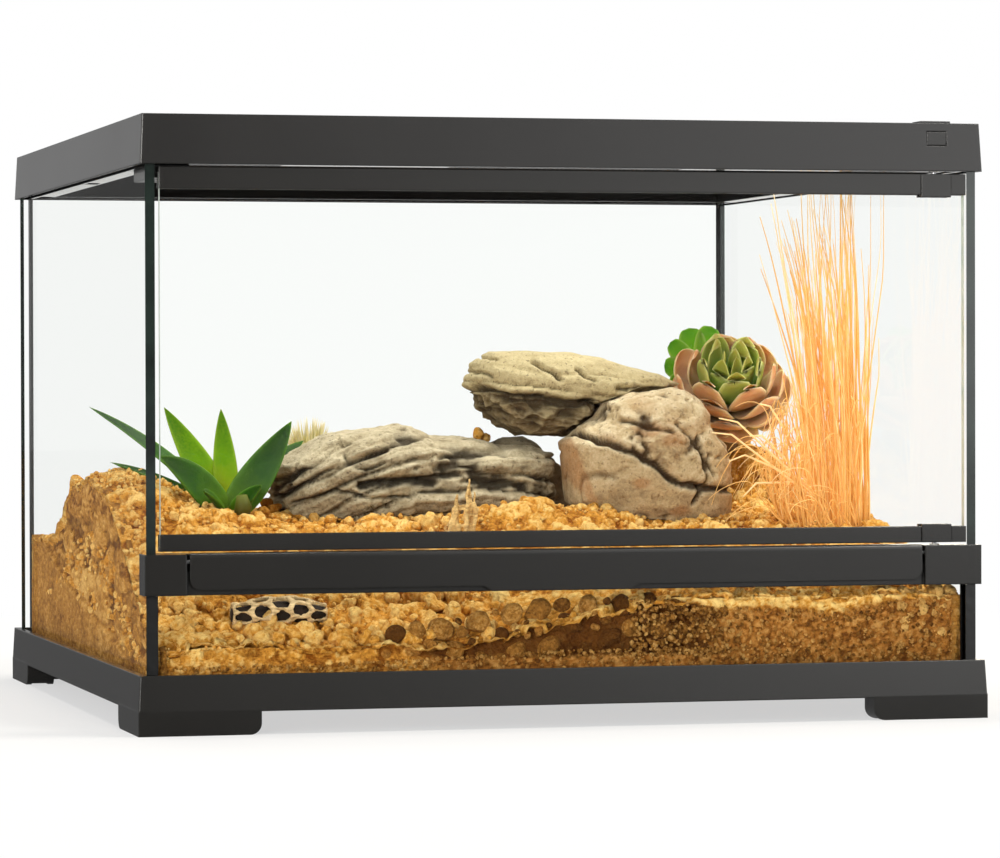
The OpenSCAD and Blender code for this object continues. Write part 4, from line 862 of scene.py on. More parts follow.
def cap_shape(co, normal):
    side = facing(normal)
    bent = co + 0.003 * fbm(co, 0.015, 3, 66)[:, None]
    split = np.interp(bent[:, 0], (-0.02, 0.005, 0.022, 0.046, 0.070, 0.13),
                      (0.180, 0.175, 0.174, 0.170, 0.167, 0.174))
    below = smooth(0.0015, -0.0015, bent[:, 2] - split)
    height = co[:, 2] + 0.10 * co[:, 0] + 0.003 * fbm(co, 0.04, 3, 61)
    push = side * (0.0016 * beds(co, height, 0.0095, 63)
                   + 0.0014 * below * beds(co, height, 0.0040, 65, 0.02))
    push += 0.0017 * fbm(co, 0.022, 4, 64) - 0.0034 * below + 0.0022 * below * fbm(co, 0.009, 3, 69)
    push -= 0.0042 * below * clods(co, 0.0075, 67)[0] * side
    push -= cut(bent, (
        (((-0.012, 0.179), (0.005, 0.175), (0.022, 0.174), (0.046, 0.170), (0.070, 0.167)), 0.0016, 0.0060),
        (((0.026, 0.192), (0.042, 0.183)), 0.0009, 0.0045),
        (((0.000, 0.197), (0.009, 0.194)), 0.0009, 0.0040),
        (((0.050, 0.187), (0.060, 0.180)), 0.0009, 0.0035),
        (((-0.004, 0.187), (0.004, 0.184)), 0.0010, 0.0035),
        (((0.074, 0.176), (0.095, 0.177), (0.113, 0.176)), 0.0018, 0.0060)))
    return push, 0.55 * below


def boulder_shape(co, normal):
    bent = co + 0.0022 * fbm(co, 0.014, 3, 86)[:, None]
    edge = ((0.040, 0.155), (0.049, 0.152), (0.061, 0.146), (0.074, 0.140), (0.090, 0.130), (0.108, 0.121),
            (0.140, 0.119))
    over = bent[:, 2] - np.interp(bent[:, 0], *zip(*edge))
    above = smooth(-0.001, 0.003, over)
    push = (0.0016 + 0.0014 * above) * fbm(co, 0.024, 4, 81) + 0.0026 * above * fbm(co, 0.009, 3, 88)
    push -= above * 0.0024 * (1 - smooth(0, 0.2, ridged(co, 0.013, 3, 83)))
    push -= 0.0012 * (1 - smooth(0, 0.12, ridged(co, 0.030, 2, 85)))
    push += 0.0022 * above * smooth(0.0, 0.1, over)
    push -= 0.0065 * smooth(0.3, -0.2, normal[:, 1]) * line_near(bent, edge, 0.0015)
    push -= cut(bent, ((((0.113, 0.150), (0.118, 0.126), (0.110, 0.112)), 0.0013, 0.0035),
                       (((0.100, 0.157), (0.112, 0.146), (0.122, 0.128)), 0.0013, 0.0025),
                       (((0.070, 0.158), (0.084, 0.155), (0.097, 0.152)), 0.0013, 0.0030)))
    stain = line_near(bent, ((0.043, 0.146), (0.046, 0.130), (0.053, 0.114)), 0.0035)
    for x, z, r in ((0.079, 0.124, 0.006), (0.102, 0.108, 0.008), (0.084, 0.154, 0.007),
                    (0.097, 0.148, 0.006)):
        stain = np.maximum(stain, np.exp(-((co[:, 0] - x) ** 2 + (2 * (co[:, 2] - z)) ** 2) / r ** 2))
    return push, np.clip(0.25 * above + 0.9 * stain, 0, 1)


for name, mat, shape, slot, title in (
        ("ledge_rock", grey_rock, ledge_shape, "grey_rock", "layered_rock"),
        ("cap_stone", cap_rock, cap_shape, "grey_rock", "cap_slab"),
        ("boulder", tan_rock, boulder_shape, "tan_rock", "tan_boulder_rock")):
    rock = remeshed(nodes[name], title, 0.00115, mat)
    carve(rock, shape)
    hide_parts(name)


def hidden_stone():
    """A stone in the shade behind the boulder, which the cap rests over, coloured dark all over as painted
    shade.
    """
    shapes, tri = lump_shapes(5, 1, 0.16, 120, 12, (0.50, 0.80))
    p = shapes[0] * (0.046, 0.030, 0.050)
    out = 0.0014 * fbm(p, 0.012, 3, 122) + 0.0010 * beds(p, p[:, 2], 0.006, 123)
    p = p * (1 + out / np.linalg.norm(p, axis=1))[:, None]
    obj = new_object("shaded_stone", p + (0.036, 0.016, 0.117), tri, grey_rock)
    set_tone(obj, np.full(len(p), 0.6))
    # dark all over: painted shade
    set_tone(obj, np.full(len(p), 0.55), "hollow")


hidden_stone()


# ---------------------------------------------------------------- leaves and stems
def curve_frames(points, up):
    """Unit directions, sides and normals along a line of points."""
    p = np.asarray(points, float)
    d = np.gradient(p, axis=0)
    d /= np.linalg.norm(d, axis=1)[:, None]
    side = np.cross(d, np.asarray(up, float))
    side /= np.linalg.norm(side, axis=1)[:, None]
    return d, side, np.cross(side, d)


def bezier(a, b, c, n):
    t = np.linspace(0, 1, n)[:, None]
    return (1 - t) ** 2 * np.asarray(a) + 2 * t * (1 - t) * np.asarray(b) + t ** 2 * np.asarray(c)


def leaf_points(a, b, c, wide, thick, belly, up, rings=26, around=16, channel=0.5, tip=1.0):
    """A fleshy leaf: hollowed above, round below, widest at belly, to a point at c."""
    line, t = bezier(a, b, c, rings), np.linspace(0, 1, rings)
    d, side, normal = curve_frames(line, up)
    swell = np.where(t < belly, 0.66 + 0.34 * np.sin(np.pi / 2 * np.clip(t / belly, 0, 1)),
                     np.cos(np.pi / 2 * np.clip((t - belly) / (1 - belly), 0, 1)) ** (0.8 * tip))
    swell = np.maximum(swell, 0.02)
    high = thick * (0.35 + 0.65 * swell) * np.minimum(1, swell * 3)
    ang = np.linspace(0, 2 * np.pi, around, endpoint=False)
    across, upper = np.cos(ang), np.sin(ang)
    dish = np.where(upper > 0, upper * 0.4 - channel * (1 - across ** 2) * 0.8, upper)
    ring = (line[:, None] + side[:, None] * (wide * swell)[:, None, None] * across[:, None]
            + normal[:, None] * high[:, None, None] * dish[:, None])
    return *closed_tube(ring, line[0], line[-1]), np.concatenate([np.repeat(t, around), [0, 1]]), \
        np.concatenate([np.tile(np.abs(across) ** 6, rings), [0, 1]])


def tube_points(line, radii, around=5, up=(0.31, 0.2, 0.93)):
    """A thin closed tube along a line of points."""
    line = np.asarray(line, float)
    d, side, normal = curve_frames(line, up)
    ang = np.linspace(0, 2 * np.pi, around, endpoint=False)[:, None]
    round_ = side[:, None] * np.cos(ang) + normal[:, None] * np.sin(ang)
    ring = line[:, None] + np.asarray(radii)[:, None, None] * round_
    tone = np.concatenate([np.repeat(np.linspace(0, 1, len(line)), around), [0, 1]])
    return *closed_tube(ring, line[0], line[-1]), tone, tone * 0


def make(name, parts, mat, slot, *replaced):
    """One object from several leaves or tubes."""
    obj = new_object(name, *joined([part[:2] for part in parts]), mat)
    for column, what in ((2, "tone"), (3, "rim")):
        set_tone(obj, np.concatenate([part[column] for part in parts]), what)
    if replaced:
        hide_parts(*replaced)


def aloe():
    """Pointed leaves round a heart, two of them painted lighter as painted light and the rest darker as
    painted shade, with the stub of an old leaf in front.
    """
    heart = np.array([-0.1485, -0.048, float(ground(-0.1485, -0.048)) - 0.002])
    # lit and shaded copies of one green: painted shade here, painted light below
    dark = leaf_shader("aloe_painted_shade", rgb(96, 136, 22), rgb(30, 80, 10), rgb(20, 52, 12), rgb(104, 148, 50),
                       0.5, 0.12)
    bright = leaf_shader("aloe_painted_light", rgb(204, 214, 36), rgb(124, 182, 12), rgb(50, 116, 14),
                         rgb(186, 210, 70), 0.6, 0.45)
    # tip, how far along it bends, how far it bows up, half width, thickness, painted as lit, way it faces
    leaves = (((-0.213, 0.035, 0.167), 0.45, 0.012, 0.0052, 0.0026, False, (0.3, -0.9, 0.5)),
              ((-0.184, -0.046, 0.167), 0.42, 0.002, 0.0094, 0.0040, True, (0.3, -1.0, 0.2)),
              ((-0.1510, -0.040, 0.166), 0.45, 0.004, 0.0072, 0.0034, True, (0.1, -1.0, 0.1)),
              ((-0.1135, -0.052, 0.1590), 0.50, -0.003, 0.0100, 0.0042, False, (-0.3, -1.0, 0.2)),
              ((-0.190, -0.068, 0.1400), 0.45, 0.009, 0.0104, 0.0046, False, (0.2, -0.9, 0.5)),
              ((-0.206, 0.004, 0.136), 0.55, 0.008, 0.0056, 0.0028, False, (0.4, -0.6, 1.0)),
              ((-0.0945, 0.006, 0.1475), 0.50, 0.008, 0.0074, 0.0030, False, (-0.3, -0.9, 0.4)),
              ((-0.168, -0.080, 0.1215), 0.50, 0.006, 0.0070, 0.0034, False, (0.0, -0.8, 0.7)),
              ((-0.134, -0.070, 0.1240), 0.50, 0.002, 0.0062, 0.0034, False, (-0.2, -0.8, 0.6)))
    parts = {True: [], False: []}
    for tip, where, lift, wide, thick, lit, up in leaves:
        bend = heart + (np.array(tip) - heart) * where + (0, 0, lift)
        parts[lit].append(leaf_points(heart, bend, tip, wide, thick, 0.34, up, channel=0.8))
    make("aloe_leaves_painted_light", parts[True], bright, "green_leaf", "aloe")
    make("aloe_leaves_painted_shade", parts[False], dark, "green_leaf")
    stub = tube_points(heart + ((0.004, -0.016, -0.002), (0.005, -0.018, 0.006), (0.004, -0.019, 0.012)),
                       (0.0042, 0.0048, 0.003), 12)
    old = leaf_shader("aloe_old_leaf", rgb(84, 66, 26), rgb(96, 98, 34), rgb(112, 120, 48), rgb(120, 120, 60))
    make("aloe_stub", [stub], old, "green_leaf")


def rosette():
    """Rings of cupped leaves round a face that looks up and forward, with offsets behind and a stem."""
    centre = np.array([0.1690, 0.034, 0.1830])
    r = 0.0335
    face = np.array([-0.16, -0.66, 0.74])
    face /= np.linalg.norm(face)
    side = np.cross(face, (0, 0, 1))
    side /= np.linalg.norm(side)
    up = np.cross(side, face)
    pink = leaf_shader("rosette_outer", rgb(176, 160, 104), rgb(224, 186, 144), rgb(224, 150, 96),
                       rgb(246, 226, 176), 0.75, 0.2)
    green = leaf_shader("rosette_heart", rgb(150, 182, 84), rgb(134, 176, 72), rgb(190, 172, 92),
                        rgb(232, 238, 150), 0.8, 0.25)
    # for each ring from the heart outward: leaves, reach, lift and half width, as shares of the radius
    rings = ((3, 0.14, 0.62, 0.15), (4, 0.32, 0.68, 0.23), (5, 0.52, 0.60, 0.31), (6, 0.72, 0.42, 0.37),
             (7, 0.90, 0.14, 0.41), (8, 1.02, -0.20, 0.42), (9, 1.04, -0.56, 0.40))
    leaves, source = [], np.random.default_rng(7)
    for k, (count, reach, lift, wide) in enumerate(rings):
        for j in range(count):
            a = 2 * math.pi * (j + 0.41 * k) / count + 0.10 * float(source.normal())
            stretch = 1 + 0.06 * float(source.normal())
            out = side * math.cos(a) + up * math.sin(a)
            base = centre - face * (0.30 + 0.06 * k) * r + out * 0.08 * r
            tip = centre + r * stretch * (out * reach + face * lift)
            mid = centre + r * (out * (reach * 0.92 + 0.10) + face * (lift * 0.1 - 0.30))
            leaves.append(leaf_points(base, mid, tip, r * wide, r * (0.07 + 0.006 * k), 0.62, face,
                                      rings=20, around=18, channel=0.95, tip=0.78))
    heart = sum(count for count, *_ in rings[:3])
    make("rosette_outer_leaves", leaves[heart:], pink, "rosette_leaf", "rosette_plant")
    make("rosette_heart_leaves", leaves[:heart], green, "rosette_leaf")
    fresh = leaf_shader("rosette_offsets", rgb(196, 220, 70), rgb(128, 192, 36), rgb(84, 160, 34),
                        rgb(206, 226, 120), 0.5, 0.45)
    base = np.array((0.157, 0.056, 0.180))
    shoots = [leaf_points(base, (base + tip) / 2 + (0, 0, 0.004), tip, width, 0.0026, 0.66, (0, -1, 0.3),
                          channel=0.9, tip=0.42)
              for tip, width in (((0.1395, 0.060, 0.204), 0.0068), ((0.153, 0.066, 0.2125), 0.0085),
                                 ((0.167, 0.066, 0.2135), 0.0080), ((0.1345, 0.056, 0.190), 0.0070),
                                 ((0.1375, 0.050, 0.178), 0.0068))]
    make("rosette_shoots", shoots, fresh, "rosette_leaf")
    foot = np.array((0.174, 0.058, 0.128))
    stem = tube_points(bezier(foot, (foot + centre) / 2 + (0, 0.01, 0), centre - face * 0.2 * r, 12),
                       np.linspace(0.008, 0.006, 12), 10)
    bark = wood_shader("rosette_stem_bark", rgb(92, 66, 40), rgb(150, 120, 80))
    make("rosette_stem", [stem], bark, "rosette_leaf")


def stalk(x, y, z, radii, around, low, share):
    """A grass stem that keeps inside the right pane, with tones from low upwards."""
    line = np.stack([np.clip(x, -IN_X, IN_X - 0.002), y, z], 1)
    verts, faces, tone, rim = tube_points(line, radii, around)
    return verts, faces, low + share * tone, rim


def grass():
    """Upright stems, a skirt of bent ones round their foot, and six broken ones that lean to the left."""
    mid_x, mid_y, top = 0.1945, -0.086, 0.289
    stems = []
    source = np.random.default_rng(23)
    t = np.linspace(0, 1, 16)
    for i in range(230):
        q, a = math.sqrt(source.random()), source.random() * 2 * math.pi
        dx, dy = 0.0185 * q * math.cos(a), 0.014 * q * math.sin(a)
        x, y = mid_x + dx, mid_y + dy
        z = float(ground(x, y)) - 0.003
        tall = (top - z) * (1.0 if i % 4 == 0 else source.uniform(0.25, 0.85))
        lean = -0.005 + 0.30 * dx + 0.004 * float(source.normal())
        if i % 8 == 0:
            lean -= source.uniform(0.010, 0.030)
            tall *= source.uniform(0.75, 1.0)
        elif i % 12 == 0:
            lean += source.uniform(0.008, 0.020)
        bent_x = x + lean * t ** 1.7 + 0.0011 * np.sin(t * source.uniform(3, 12) + source.random() * 6) * t
        bent_y = y + dy * 0.4 * t ** 2 + 0.0016 * np.sin(t * source.uniform(3, 9) + source.random() * 6) * t
        radii = source.uniform(0.00030, 0.00085) * (1 - 0.7 * t ** 1.5)
        stems.append(stalk(bent_x, bent_y, z + tall * t, radii, 5, 0.75 * source.random(), 0.3))
    for i in range(150):
        a = source.random() * 2 * math.pi
        x, y = 0.186 + 0.022 * math.cos(a), mid_y + 0.016 * math.sin(a)
        z = float(ground(x, y)) - 0.002
        reach, turn = source.uniform(0.010, 0.045), source.uniform(0.5, 1.6) * math.pi
        rise, bow = source.uniform(0.012, 0.075), source.uniform(0.45, 0.95)
        stems.append(stalk(x + reach * t * math.cos(turn) + 0.003 * np.sin(t * 8 + turn),
                           y + reach * 0.6 * t * math.sin(turn) + 0.002 * np.cos(t * 7 + turn),
                           z + rise * np.sin(t * math.pi * bow), 0.0005 * (1 - 0.7 * t), 4,
                           0.5 * source.random(), 0.5))
    for k, (x, z) in enumerate(((0.118, 0.152), (0.122, 0.160), (0.140, 0.150), (0.128, 0.136),
                                (0.136, 0.116), (0.146, 0.168))):
        foot = np.array((0.182, -0.092 + 0.002 * k, 0.112 + 0.003 * k))
        tip = np.array((x, -0.094, z))
        kink = foot + (tip - foot) * 0.82 + (0, 0, 0.006)
        line = np.concatenate([np.linspace(foot, kink, 9), np.linspace(kink, tip, 5)[1:]])
        stems.append(stalk(*line.T, np.linspace(0.0009, 0.0004, 13), 5, 0.8, 0.2))
    make("dry_grass_stems", stems, straw_shader(), "straw", "dry_grass")


def air_tuft():
    """A fan of fine leaves, so tall that the upper ones show over the layered rock."""
    pale = leaf_shader("air_plant_leaf", rgb(222, 204, 120), rgb(224, 222, 140), rgb(246, 234, 190),
                       rgb(244, 238, 190), through=0.35)
    top, half = 0.1615, 0.0165
    low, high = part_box("air_plant")
    x, y = (low.x + high.x) / 2, (low.y + high.y) / 2
    at = np.array((x, y, float(ground(x, y)) - 0.001))
    rise = top - at[2]
    leaves = []
    source = np.random.default_rng(5)
    for j in range(110):
        w = 0.15 + 0.85 * math.sqrt(source.random())
        out = np.array((math.cos(j * 2.4), math.sin(j * 2.4), 0)) * half * w
        mid, tip = at + out * 0.35 + (0, 0, rise * 0.55), at + out + (0, 0, rise * (1 - 0.22 * w * w))
        leaves.append(leaf_points(at, mid, tip, 0.0015, 0.0007, 0.3, (0.3, 0.2, 1), rings=10,
                                  around=6, tip=1.1))
    make("air_plant_tuft", leaves, pale, "green_leaf", "air_plant")


aloe()
rosette()
grass()
air_tuft()


# ---------------------------------------------------------------- cholla wood
def weathered(name, shape, cell, mat, replaced, seed, grooved=0.0):
    """One even, roughened piece of bare wood from joined tubes."""
    obj = new_object(name, *shape, mat)
    even_mesh(obj, cell, mat)
    co = points_of(obj)
    rough = fbm(co, 0.004, 3, seed + 5) + grooved * (ridged(co * (1, 1, 0.25), 0.0022, 2, seed + 9) - 0.5)
    set_points(obj, co + normals_of(obj) * 0.0006 * rough[:, None])
    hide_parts(replaced)


def netted_tube(line, radii, seed, hole=0.72, along_holes=5, around_holes=6):
    """The bare skeleton of a cactus stem: a hollow tube with rows of long holes."""
    steps, around, inner = 90, 42, 0.72
    dense, radius, t = resampled(line, steps), resampled(radii, steps), np.linspace(0, 1, steps)
    d, side, normal = curve_frames(dense, (0.2, 0.9, 0.35))
    ang = np.linspace(0, 2 * np.pi, around, endpoint=False)
    spot = np.stack([np.repeat(t, around) * 3, np.tile(np.cos(ang), steps), np.tile(np.sin(ang), steps)], 1)
    wobble = 0.35 * fbm(spot, 0.7, 3, seed).reshape(steps, around)
    out = side[:, None] * np.cos(ang)[:, None] + normal[:, None] * np.sin(ang)[:, None]
    out *= radius[:, None, None] * (1 + 0.25 * wobble[..., None])
    points = [(dense[:, None] + shell * out).reshape(-1, 3) for shell in (1.0, inner)]
    row, part = np.divmod(t * along_holes, 1)
    cell = (ang / (2 * np.pi) * around_holes + 0.5 * (row % 2)[:, None] + 0.25 * wobble) % 1
    bare = ((cell - 0.5) / 0.40) ** 2 + ((part[:, None] - 0.5) / 0.42) ** 2 < hole * 1.6
    bare[:2] = bare[-2:] = False
    ids, off = np.arange(steps * around).reshape(steps, around), steps * around
    right = np.roll(ids, -1, 1)
    a, b, c, e = ids[:-1], right[:-1], right[1:], ids[1:]
    wood, ends = ~bare[:-1], np.ones((1, around), bool)
    squares = [(a, b, c, e, wood), (off + a, off + e, off + c, off + b, wood)]
    for p, s, hollow in ((b, c, np.roll(bare, -1, 1)[:-1]), (e, a, np.roll(bare, 1, 1)[:-1]),
                         (c, e, np.concatenate([bare[1:-1], ends])),
                         (a, b, np.concatenate([ends, bare[:-2]]))):
        squares.append((p, off + p, off + s, s, wood & hollow))
    return np.concatenate(points), np.concatenate([np.stack(q[:4], 2)[q[4]] for q in squares]).tolist()


def splinters(strands, seed):
    """Weathered strands of wood that cross and join, from (points, radii) for each strand."""
    steps = 24
    return joined([tube_points(swayed(resampled(line, steps), 0.0016, 0.007, 2, seed),
                               resampled(radii, steps), 10)[:2] for line, radii in strands])


def stub_strands():
    """Upright splinters of a broken stem, of several heights, joined by short bars with holes between."""
    mid_y = -0.112
    source = np.random.default_rng(61)
    foot = float(ground(-0.03, mid_y))
    strands = []
    for x, tall, lean in ((-0.0400, 0.011, 0.003), (-0.0378, 0.019, 0.001), (-0.0352, 0.026, 0.001),
                          (-0.0325, 0.021, -0.001), (-0.0300, 0.036, 0.002), (-0.0278, 0.031, 0.001),
                          (-0.0255, 0.028, 0.001), (-0.0232, 0.022, -0.001)):
        y = mid_y + 0.0022 * math.sin(x * 900)
        line = [(x + lean * k + 0.0009 * source.normal(), y + 0.0007 * source.normal(),
                 foot - 0.002 + (tall + 0.002) * k) for k in (0, 0.35, 0.7, 1)]
        strands.append((line, (0.0021, 0.0016, 0.0012, 0.0008)))
    for k in range(9):
        x, up = -0.0395 + 0.0150 * source.random(), foot + 0.003 + 0.020 * source.random()
        bar = ((x, mid_y, up), (x + 0.0035, mid_y - 0.0005, up + 0.002 * source.normal()))
        strands.append((bar, (0.0010, 0.0009)))
    return strands


def stick_strands():
    """Four strands that lie along each other on the soil, with heights above it."""
    z = float(ground(-0.09, -0.118)) + 0.001
    strands = (
        (((-0.124, -0.121, 0.004), (-0.110, -0.120, 0.0055), (-0.093, -0.119, 0.003),
          (-0.077, -0.118, 0.0025)),
         (0.0010, 0.0022, 0.0026, 0.0012)),
        (((-0.119, -0.118, 0.002), (-0.103, -0.1195, 0.004), (-0.086, -0.1205, 0.004),
          (-0.072, -0.121, 0.0015)),
         (0.0012, 0.0018, 0.0022, 0.0010)),
        (((-0.090, -0.119, 0.003), (-0.072, -0.1185, 0.002), (-0.058, -0.117, 0.0035),
          (-0.047, -0.116, 0.002)),
         (0.0012, 0.0020, 0.0018, 0.0008)),
        (((-0.078, -0.116, 0.0015), (-0.064, -0.119, 0.0035), (-0.052, -0.119, 0.0015)),
         (0.0010, 0.0016, 0.0010)))
    return [(np.array(line) + (0, 0, z), radii) for line, radii in strands]


def branch():
    """The netted branch by the front pane, with a dark tube inside as painted shade in its holes."""
    lo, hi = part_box("cholla_branch")
    y = (lo.y + hi.y) / 2
    line = np.array([(x, y, float(ground(x, y))) for x in np.linspace(lo.x + 0.003, hi.x - 0.003, 5)])
    net = netted_tube(line + (0, 0, 0.0055), (0.006, 0.0085, 0.0085, 0.005), 11)
    bark = wood_shader("dark_wood", rgb(124, 88, 44), rgb(252, 224, 170))
    weathered("cholla_branch_net", net, 0.0007, bark, "cholla_branch", 11)
    # a near black tube inside: painted shade seen through the holes
    core = tube_points(line + (0, 0, 0.0050), (0.0036, 0.0055, 0.0060, 0.0055, 0.0030), 14)
    make("cholla_core", [core], wood_shader("core_painted_shade", rgb(14, 8, 4), rgb(44, 28, 14)), "bare_wood")


weathered("cholla_stub", splinters(stub_strands(), 3), 0.00045,
          wood_shader("pale_wood", rgb(146, 98, 40), rgb(250, 216, 146)), "wood_stub", 3, 1.0)
weathered("cholla_stick", splinters(stick_strands(), 8), 0.00045,
          wood_shader("brown_wood", rgb(116, 80, 40), rgb(206, 166, 106)), "wood_stick", 8, 1.0)
branch()


# ---------------------------------------------------------------- clods, crumbs and stones
rock_trees = [bvh_of(nodes[n]) for n in ROCKS]


def free_of_rocks(points):
    """Which points are outside the stones."""
    keep = np.ones(len(points), bool)
    for tree in rock_trees:
        for i, p in enumerate(points):
            if keep[i]:
                at, normal, _, far = tree.find_nearest(Vector(p), 0.05)
                if at is not None and (Vector(p) - at).dot(normal) < -0.002:
                    keep[i] = False
    return keep


def spread_out(along, z, r, close=0.86):
    """Which stones to keep, the largest first, so that none lies in another."""
    kept = []
    for i in np.argsort(-r):
        if all((along[i] - along[j]) ** 2 + (z[i] - z[j]) ** 2 > (close * (r[i] + r[j])) ** 2 for j in kept):
            kept.append(i)
    return np.array(kept)


def level(z):
    """A line at one height."""
    return (-1, 1), (z, z)


lumps = lump_shapes(3, 10, 0.20, 100)
crumbs = lump_shapes(2, 12, 0.20, 200)
pebbles = lump_shapes(3, 10, 0.05, 300, 5, (0.62, 0.92))
six_pebbles = (pebbles[0][:6], pebbles[1])
grit = lump_shapes(1, 12, 0.16, 400)
source = np.random.default_rng(90)

# name, how many, x range, y range, radii, how much rarer large ones are, shapes, tones, how far they are sunk
for name, n, x_range, y_range, radii, power, kind, tones, sink in (
        ("clay_clods", 60, (-0.216, 0.2), (-0.216, 0.1), (0.0040, 0.0078), 2.0, lumps, (0.4, 0.8), 0.35),
        ("slope_clods", 70, (-0.214, -0.04), (-0.212, -0.15), (0.0036, 0.0088), 1.8, lumps, (0.45, 0.8), 0.3),
        ("clay_lumps", 620, (-0.217, 0.217), (-0.217, -0.02), (0.0018, 0.0044), 2.0, crumbs,
         (0.35, 0.8), 0.3),
        ("clay_crumbs", 2450, (-0.218, 0.218), (-0.218, 0.0), (0.0009, 0.0022), 1.6, grit,
         (0.35, 0.85), 0.15),
        ("clay_grains", 2000, (-0.218, 0.218), (-0.02, 0.217), (0.0011, 0.0030), 1.6, grit,
         (0.35, 0.85), 0.15)):
    x, y = source.uniform(*x_range, n), source.uniform(*y_range, n)
    r = between(*radii, source.random(n) ** power)
    pts = np.stack([x, y, ground(x, y) + r * (1 - 2 * sink) * source.uniform(0.2, 1.0, n)], 1)
    keep = free_of_rocks(pts)
    pts, r = pts[keep], r[keep]
    scatter(name, pts, r, kind, clay, between(*tones, source.random(len(r))), source)

scatter("clod_on_ledge", ((0.0040, -0.012, 0.1500), (0.0085, -0.010, 0.1485)), (0.0052, 0.0036), lumps,
        clay, (0.45, 0.6), source)
x, y = np.array((-0.1260, -0.1190, -0.1225)), np.array((-0.036, -0.030, -0.026))
scatter("clods_by_aloe", np.stack([x, y, ground(x, y) + (0.0030, 0.0040, 0.0095)], 1),
        (0.0056, 0.0058, 0.0050), lumps, clay, (0.15, 0.2, 0.1), source)


def by_the_glass(name, n, x_range, low, high, radii, power, kind, mat, tones, seed, depth,
                 left=False, packed=False):
    """Stones pressed against the front or left pane, between two lines given as places and heights."""
    source = np.random.default_rng(seed)
    along = source.uniform(*x_range, n)
    r = between(*radii, source.random(n) ** power)
    bottom, top = np.interp(along, *low), np.interp(along, *high)
    lowest = SOIL_FOOT + 0.001 + r * 0.8
    z = np.clip(between(bottom, top, source.random(n)), lowest, np.maximum(top - r * 0.5, lowest))
    if packed:
        kept = spread_out(along, z, r)
        along, z, r = along[kept], z[kept], r[kept]
    inside = IN_Y - r * (0.96 if packed else 0.74) - source.random(len(r)) * depth
    pts = np.stack([-inside, along, z] if left else [along, -inside, z], 1)
    scatter(name, pts, r, kind, mat, between(*tones, source.random(len(r))), source)


along = np.linspace(-IN_X, IN_X, 60)
side_top = (along, ground(along * 0 - IN_X + 0.001, along) - 0.030)
for row in (
        ("window_stones", 1500, (-0.098, 0.078), level(0.034),
         ((-0.10, -0.06, 0.0, 0.05, 0.08), (0.050, 0.059, 0.066, 0.067, 0.064)),
         (0.0022, 0.0082), 2.6, six_pebbles, stone_mix, (0.02, 0.5), 31, 0.002, False, True),
        ("window_gravel", 2000, (0.035, 0.217), level(0.029), [line[3:] for line in STONE_LINE],
         (0.0010, 0.0024), 1.4, grit, stone_mix, (0.15, 0.65), 32, 0.002),
        ("window_pebbles", 40, (0.176, 0.216), level(0.046), level(0.070),
         (0.0034, 0.0056), 1.0, pebbles, stone_mix, (0.45, 0.95), 33, 0.003),
        ("window_grit", 1500, (-0.217, 0.217), level(0.029),
         ((-0.22, -0.1, 0.0, 0.1, 0.22), (0.034, 0.036, 0.040, 0.040, 0.040)),
         (0.0008, 0.0018), 1.2, grit, stone_mix, (0.3, 0.62), 34, 0.002),
        ("window_clods", 400, (-0.217, -0.070), level(0.029), ((-0.22, -0.1, -0.05), (0.050, 0.052, 0.050)),
         (0.0030, 0.0092), 2.2, lumps, clay, (0.4, 0.8), 35, 0.008, False, True),
        ("side_clods", 70, (-0.212, 0.15), SAND_LINE, side_top,
         (0.0030, 0.0082), 1.8, lumps, clay, (0.25, 0.7), 41, 0.003, True),
        ("side_lumps", 380, (-0.215, 0.17), SAND_LINE, side_top,
         (0.0014, 0.0036), 1.4, crumbs, clay, (0.2, 0.75), 42, 0.002, True)):
    by_the_glass(*row)


# ---------------------------------------------------------------- camera, light and floor
def camera():
    """The photograph's own viewpoint."""
    yaw, pitch, roll = 0.2508, -0.0111, -0.0026
    place, focal = Vector((-0.6004, -2.4195, 0.1813)), 156.43
    ahead = Vector((math.sin(yaw) * math.cos(pitch), math.cos(yaw) * math.cos(pitch), math.sin(pitch)))
    right = Vector((math.cos(yaw), -math.sin(yaw), 0))
    up = right.cross(ahead)
    view = Matrix((math.cos(roll) * right + math.sin(roll) * up, math.cos(roll) * up - math.sin(roll) * right,
                   -ahead)).transposed().to_4x4()
    view.translation = place
    data = bpy.data.cameras.new("camera")
    data.lens, data.sensor_width, data.sensor_fit, data.clip_start = focal, 36.0, "HORIZONTAL", 0.05
    cam = link(bpy.data.objects.new("camera", data))
    cam.matrix_world = view
    bpy.context.scene.camera = cam


def studio_world():
    world = bpy.data.worlds.new("studio")
    bpy.context.scene.world = world
    s = Shader("studio", world)
    x, y, z = s.xyz()
    path = s.add("LightPath").outputs
    # what the mouldings mirror: dark by the camera, a soft bright wall to the right, a paler room behind
    wall = s.ramp(s.scaled(x, 0.5, 0.5), (0.10, 0.4), (0.24, 0.4), (0.38, 0.01), (0.575, 0.01), (0.61, 0.10),
                  (0.65, 0.42), (0.70, 0.66), (0.85, 0.4))
    mirrored = s.blend(s.ramp(s.scaled(y, 0.5, 0.5), (0.44, 0.0), (0.56, 1.0)), s.times(4.2, wall), 0.46)
    strength = s.blend(path["Is Glossy Ray"], 0.42, mirrored)
    strength = s.blend(path["Is Camera Ray"], strength, 1.0)
    sky = s.add("Background", {"Color": (1, 1, 1, 1), "Strength": strength}).outputs[0]
    s.add("OutputWorld", {"Surface": sky})


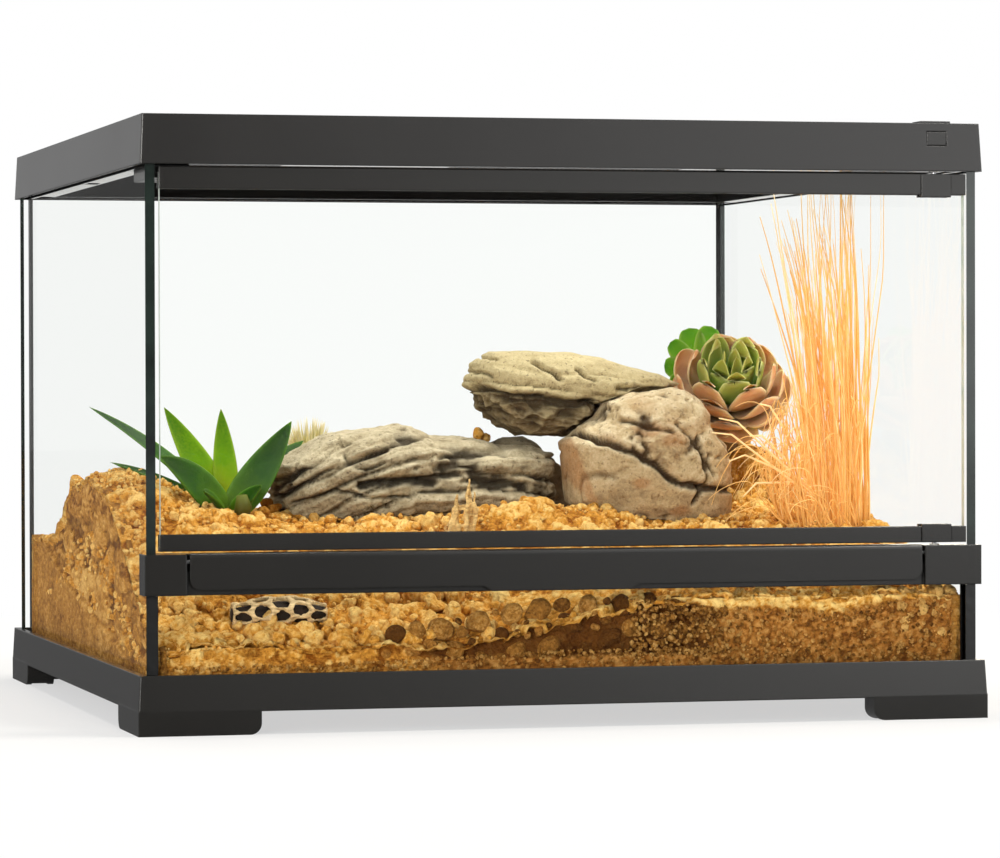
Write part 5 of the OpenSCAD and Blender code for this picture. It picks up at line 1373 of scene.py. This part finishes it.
def studio_lights():
    for name, place, aim, width, height, power, colour in (
            ("key", (1.25, -0.55, 1.75), (0.02, 0, 0.12), 0.8, 0.8, 42, (1.0, 0.95, 0.86)),
            ("front", (-1.5, -2.1, 0.62), (0, 0, 0.08), 1.1, 0.7, 40, (1.0, 0.97, 0.92)),
            ("top", (-0.15, 0.10, 1.9), (0, 0, 0.1), 0.7, 0.7, 28, (1.0, 0.96, 0.88)),
            ("back", (0.9, 1.7, 0.8), (0.1, 0, 0.15), 0.9, 0.9, 20, (1.0, 0.92, 0.78))):
        data = bpy.data.lights.new(name, "AREA")
        data.shape, data.size, data.size_y = "RECTANGLE", width, height
        data.energy, data.color = power, colour
        lamp = link(bpy.data.objects.new(name, data))
        lamp.location = place
        lamp.rotation_euler = (Vector(aim) - Vector(place)).to_track_quat("-Z", "Y").to_euler()


def studio_floor():
    """White as the camera sees it, with the object's shadow, and graded for what the mouldings mirror."""
    half = 9
    s = Shader("floor_white")
    path = s.add("LightPath").outputs
    pale = s.add("BsdfDiffuse", {"Color": s.ramp(s.noise(0.4, 2), (0.3, 0.86), (0.7, 0.88))}).outputs[0]
    near = s.mix_shader(s.times(path["Is Camera Ray"], 0.72), pale, s.glow((1, 1, 1, 1), 0.82))
    reach = s.add("VectorMath", {0: s.coord}, operation="LENGTH").outputs["Value"]
    far = s.times(s.ramp(reach, (0.45, 0.0), (0.95, 1.0)), path["Is Camera Ray"])
    across = s.ramp(s.times(s.xyz()[0], 0.8), (0.04, 0.16), (0.3, 0.34), (0.75, 0.9))
    seen = s.mix_shader(far, near, s.glow((1, 1, 1, 1), 1.0))
    mat = s.done(s.mix_shader(path["Is Glossy Ray"], seen, s.glow(across, 1.0)))
    mesh = bpy.data.meshes.new("studio_floor")
    corners = ((-half, -half, 0), (half, -half, 0), (half, half, 0), (-half, half, 0))
    mesh.from_pydata(corners, [], [(0, 1, 2, 3)])
    mesh.materials.append(mat)
    link(bpy.data.objects.new("studio_floor", mesh))


camera()
studio_world()
studio_lights()
studio_floor()
bpy.context.scene.view_settings.view_transform = "Standard"
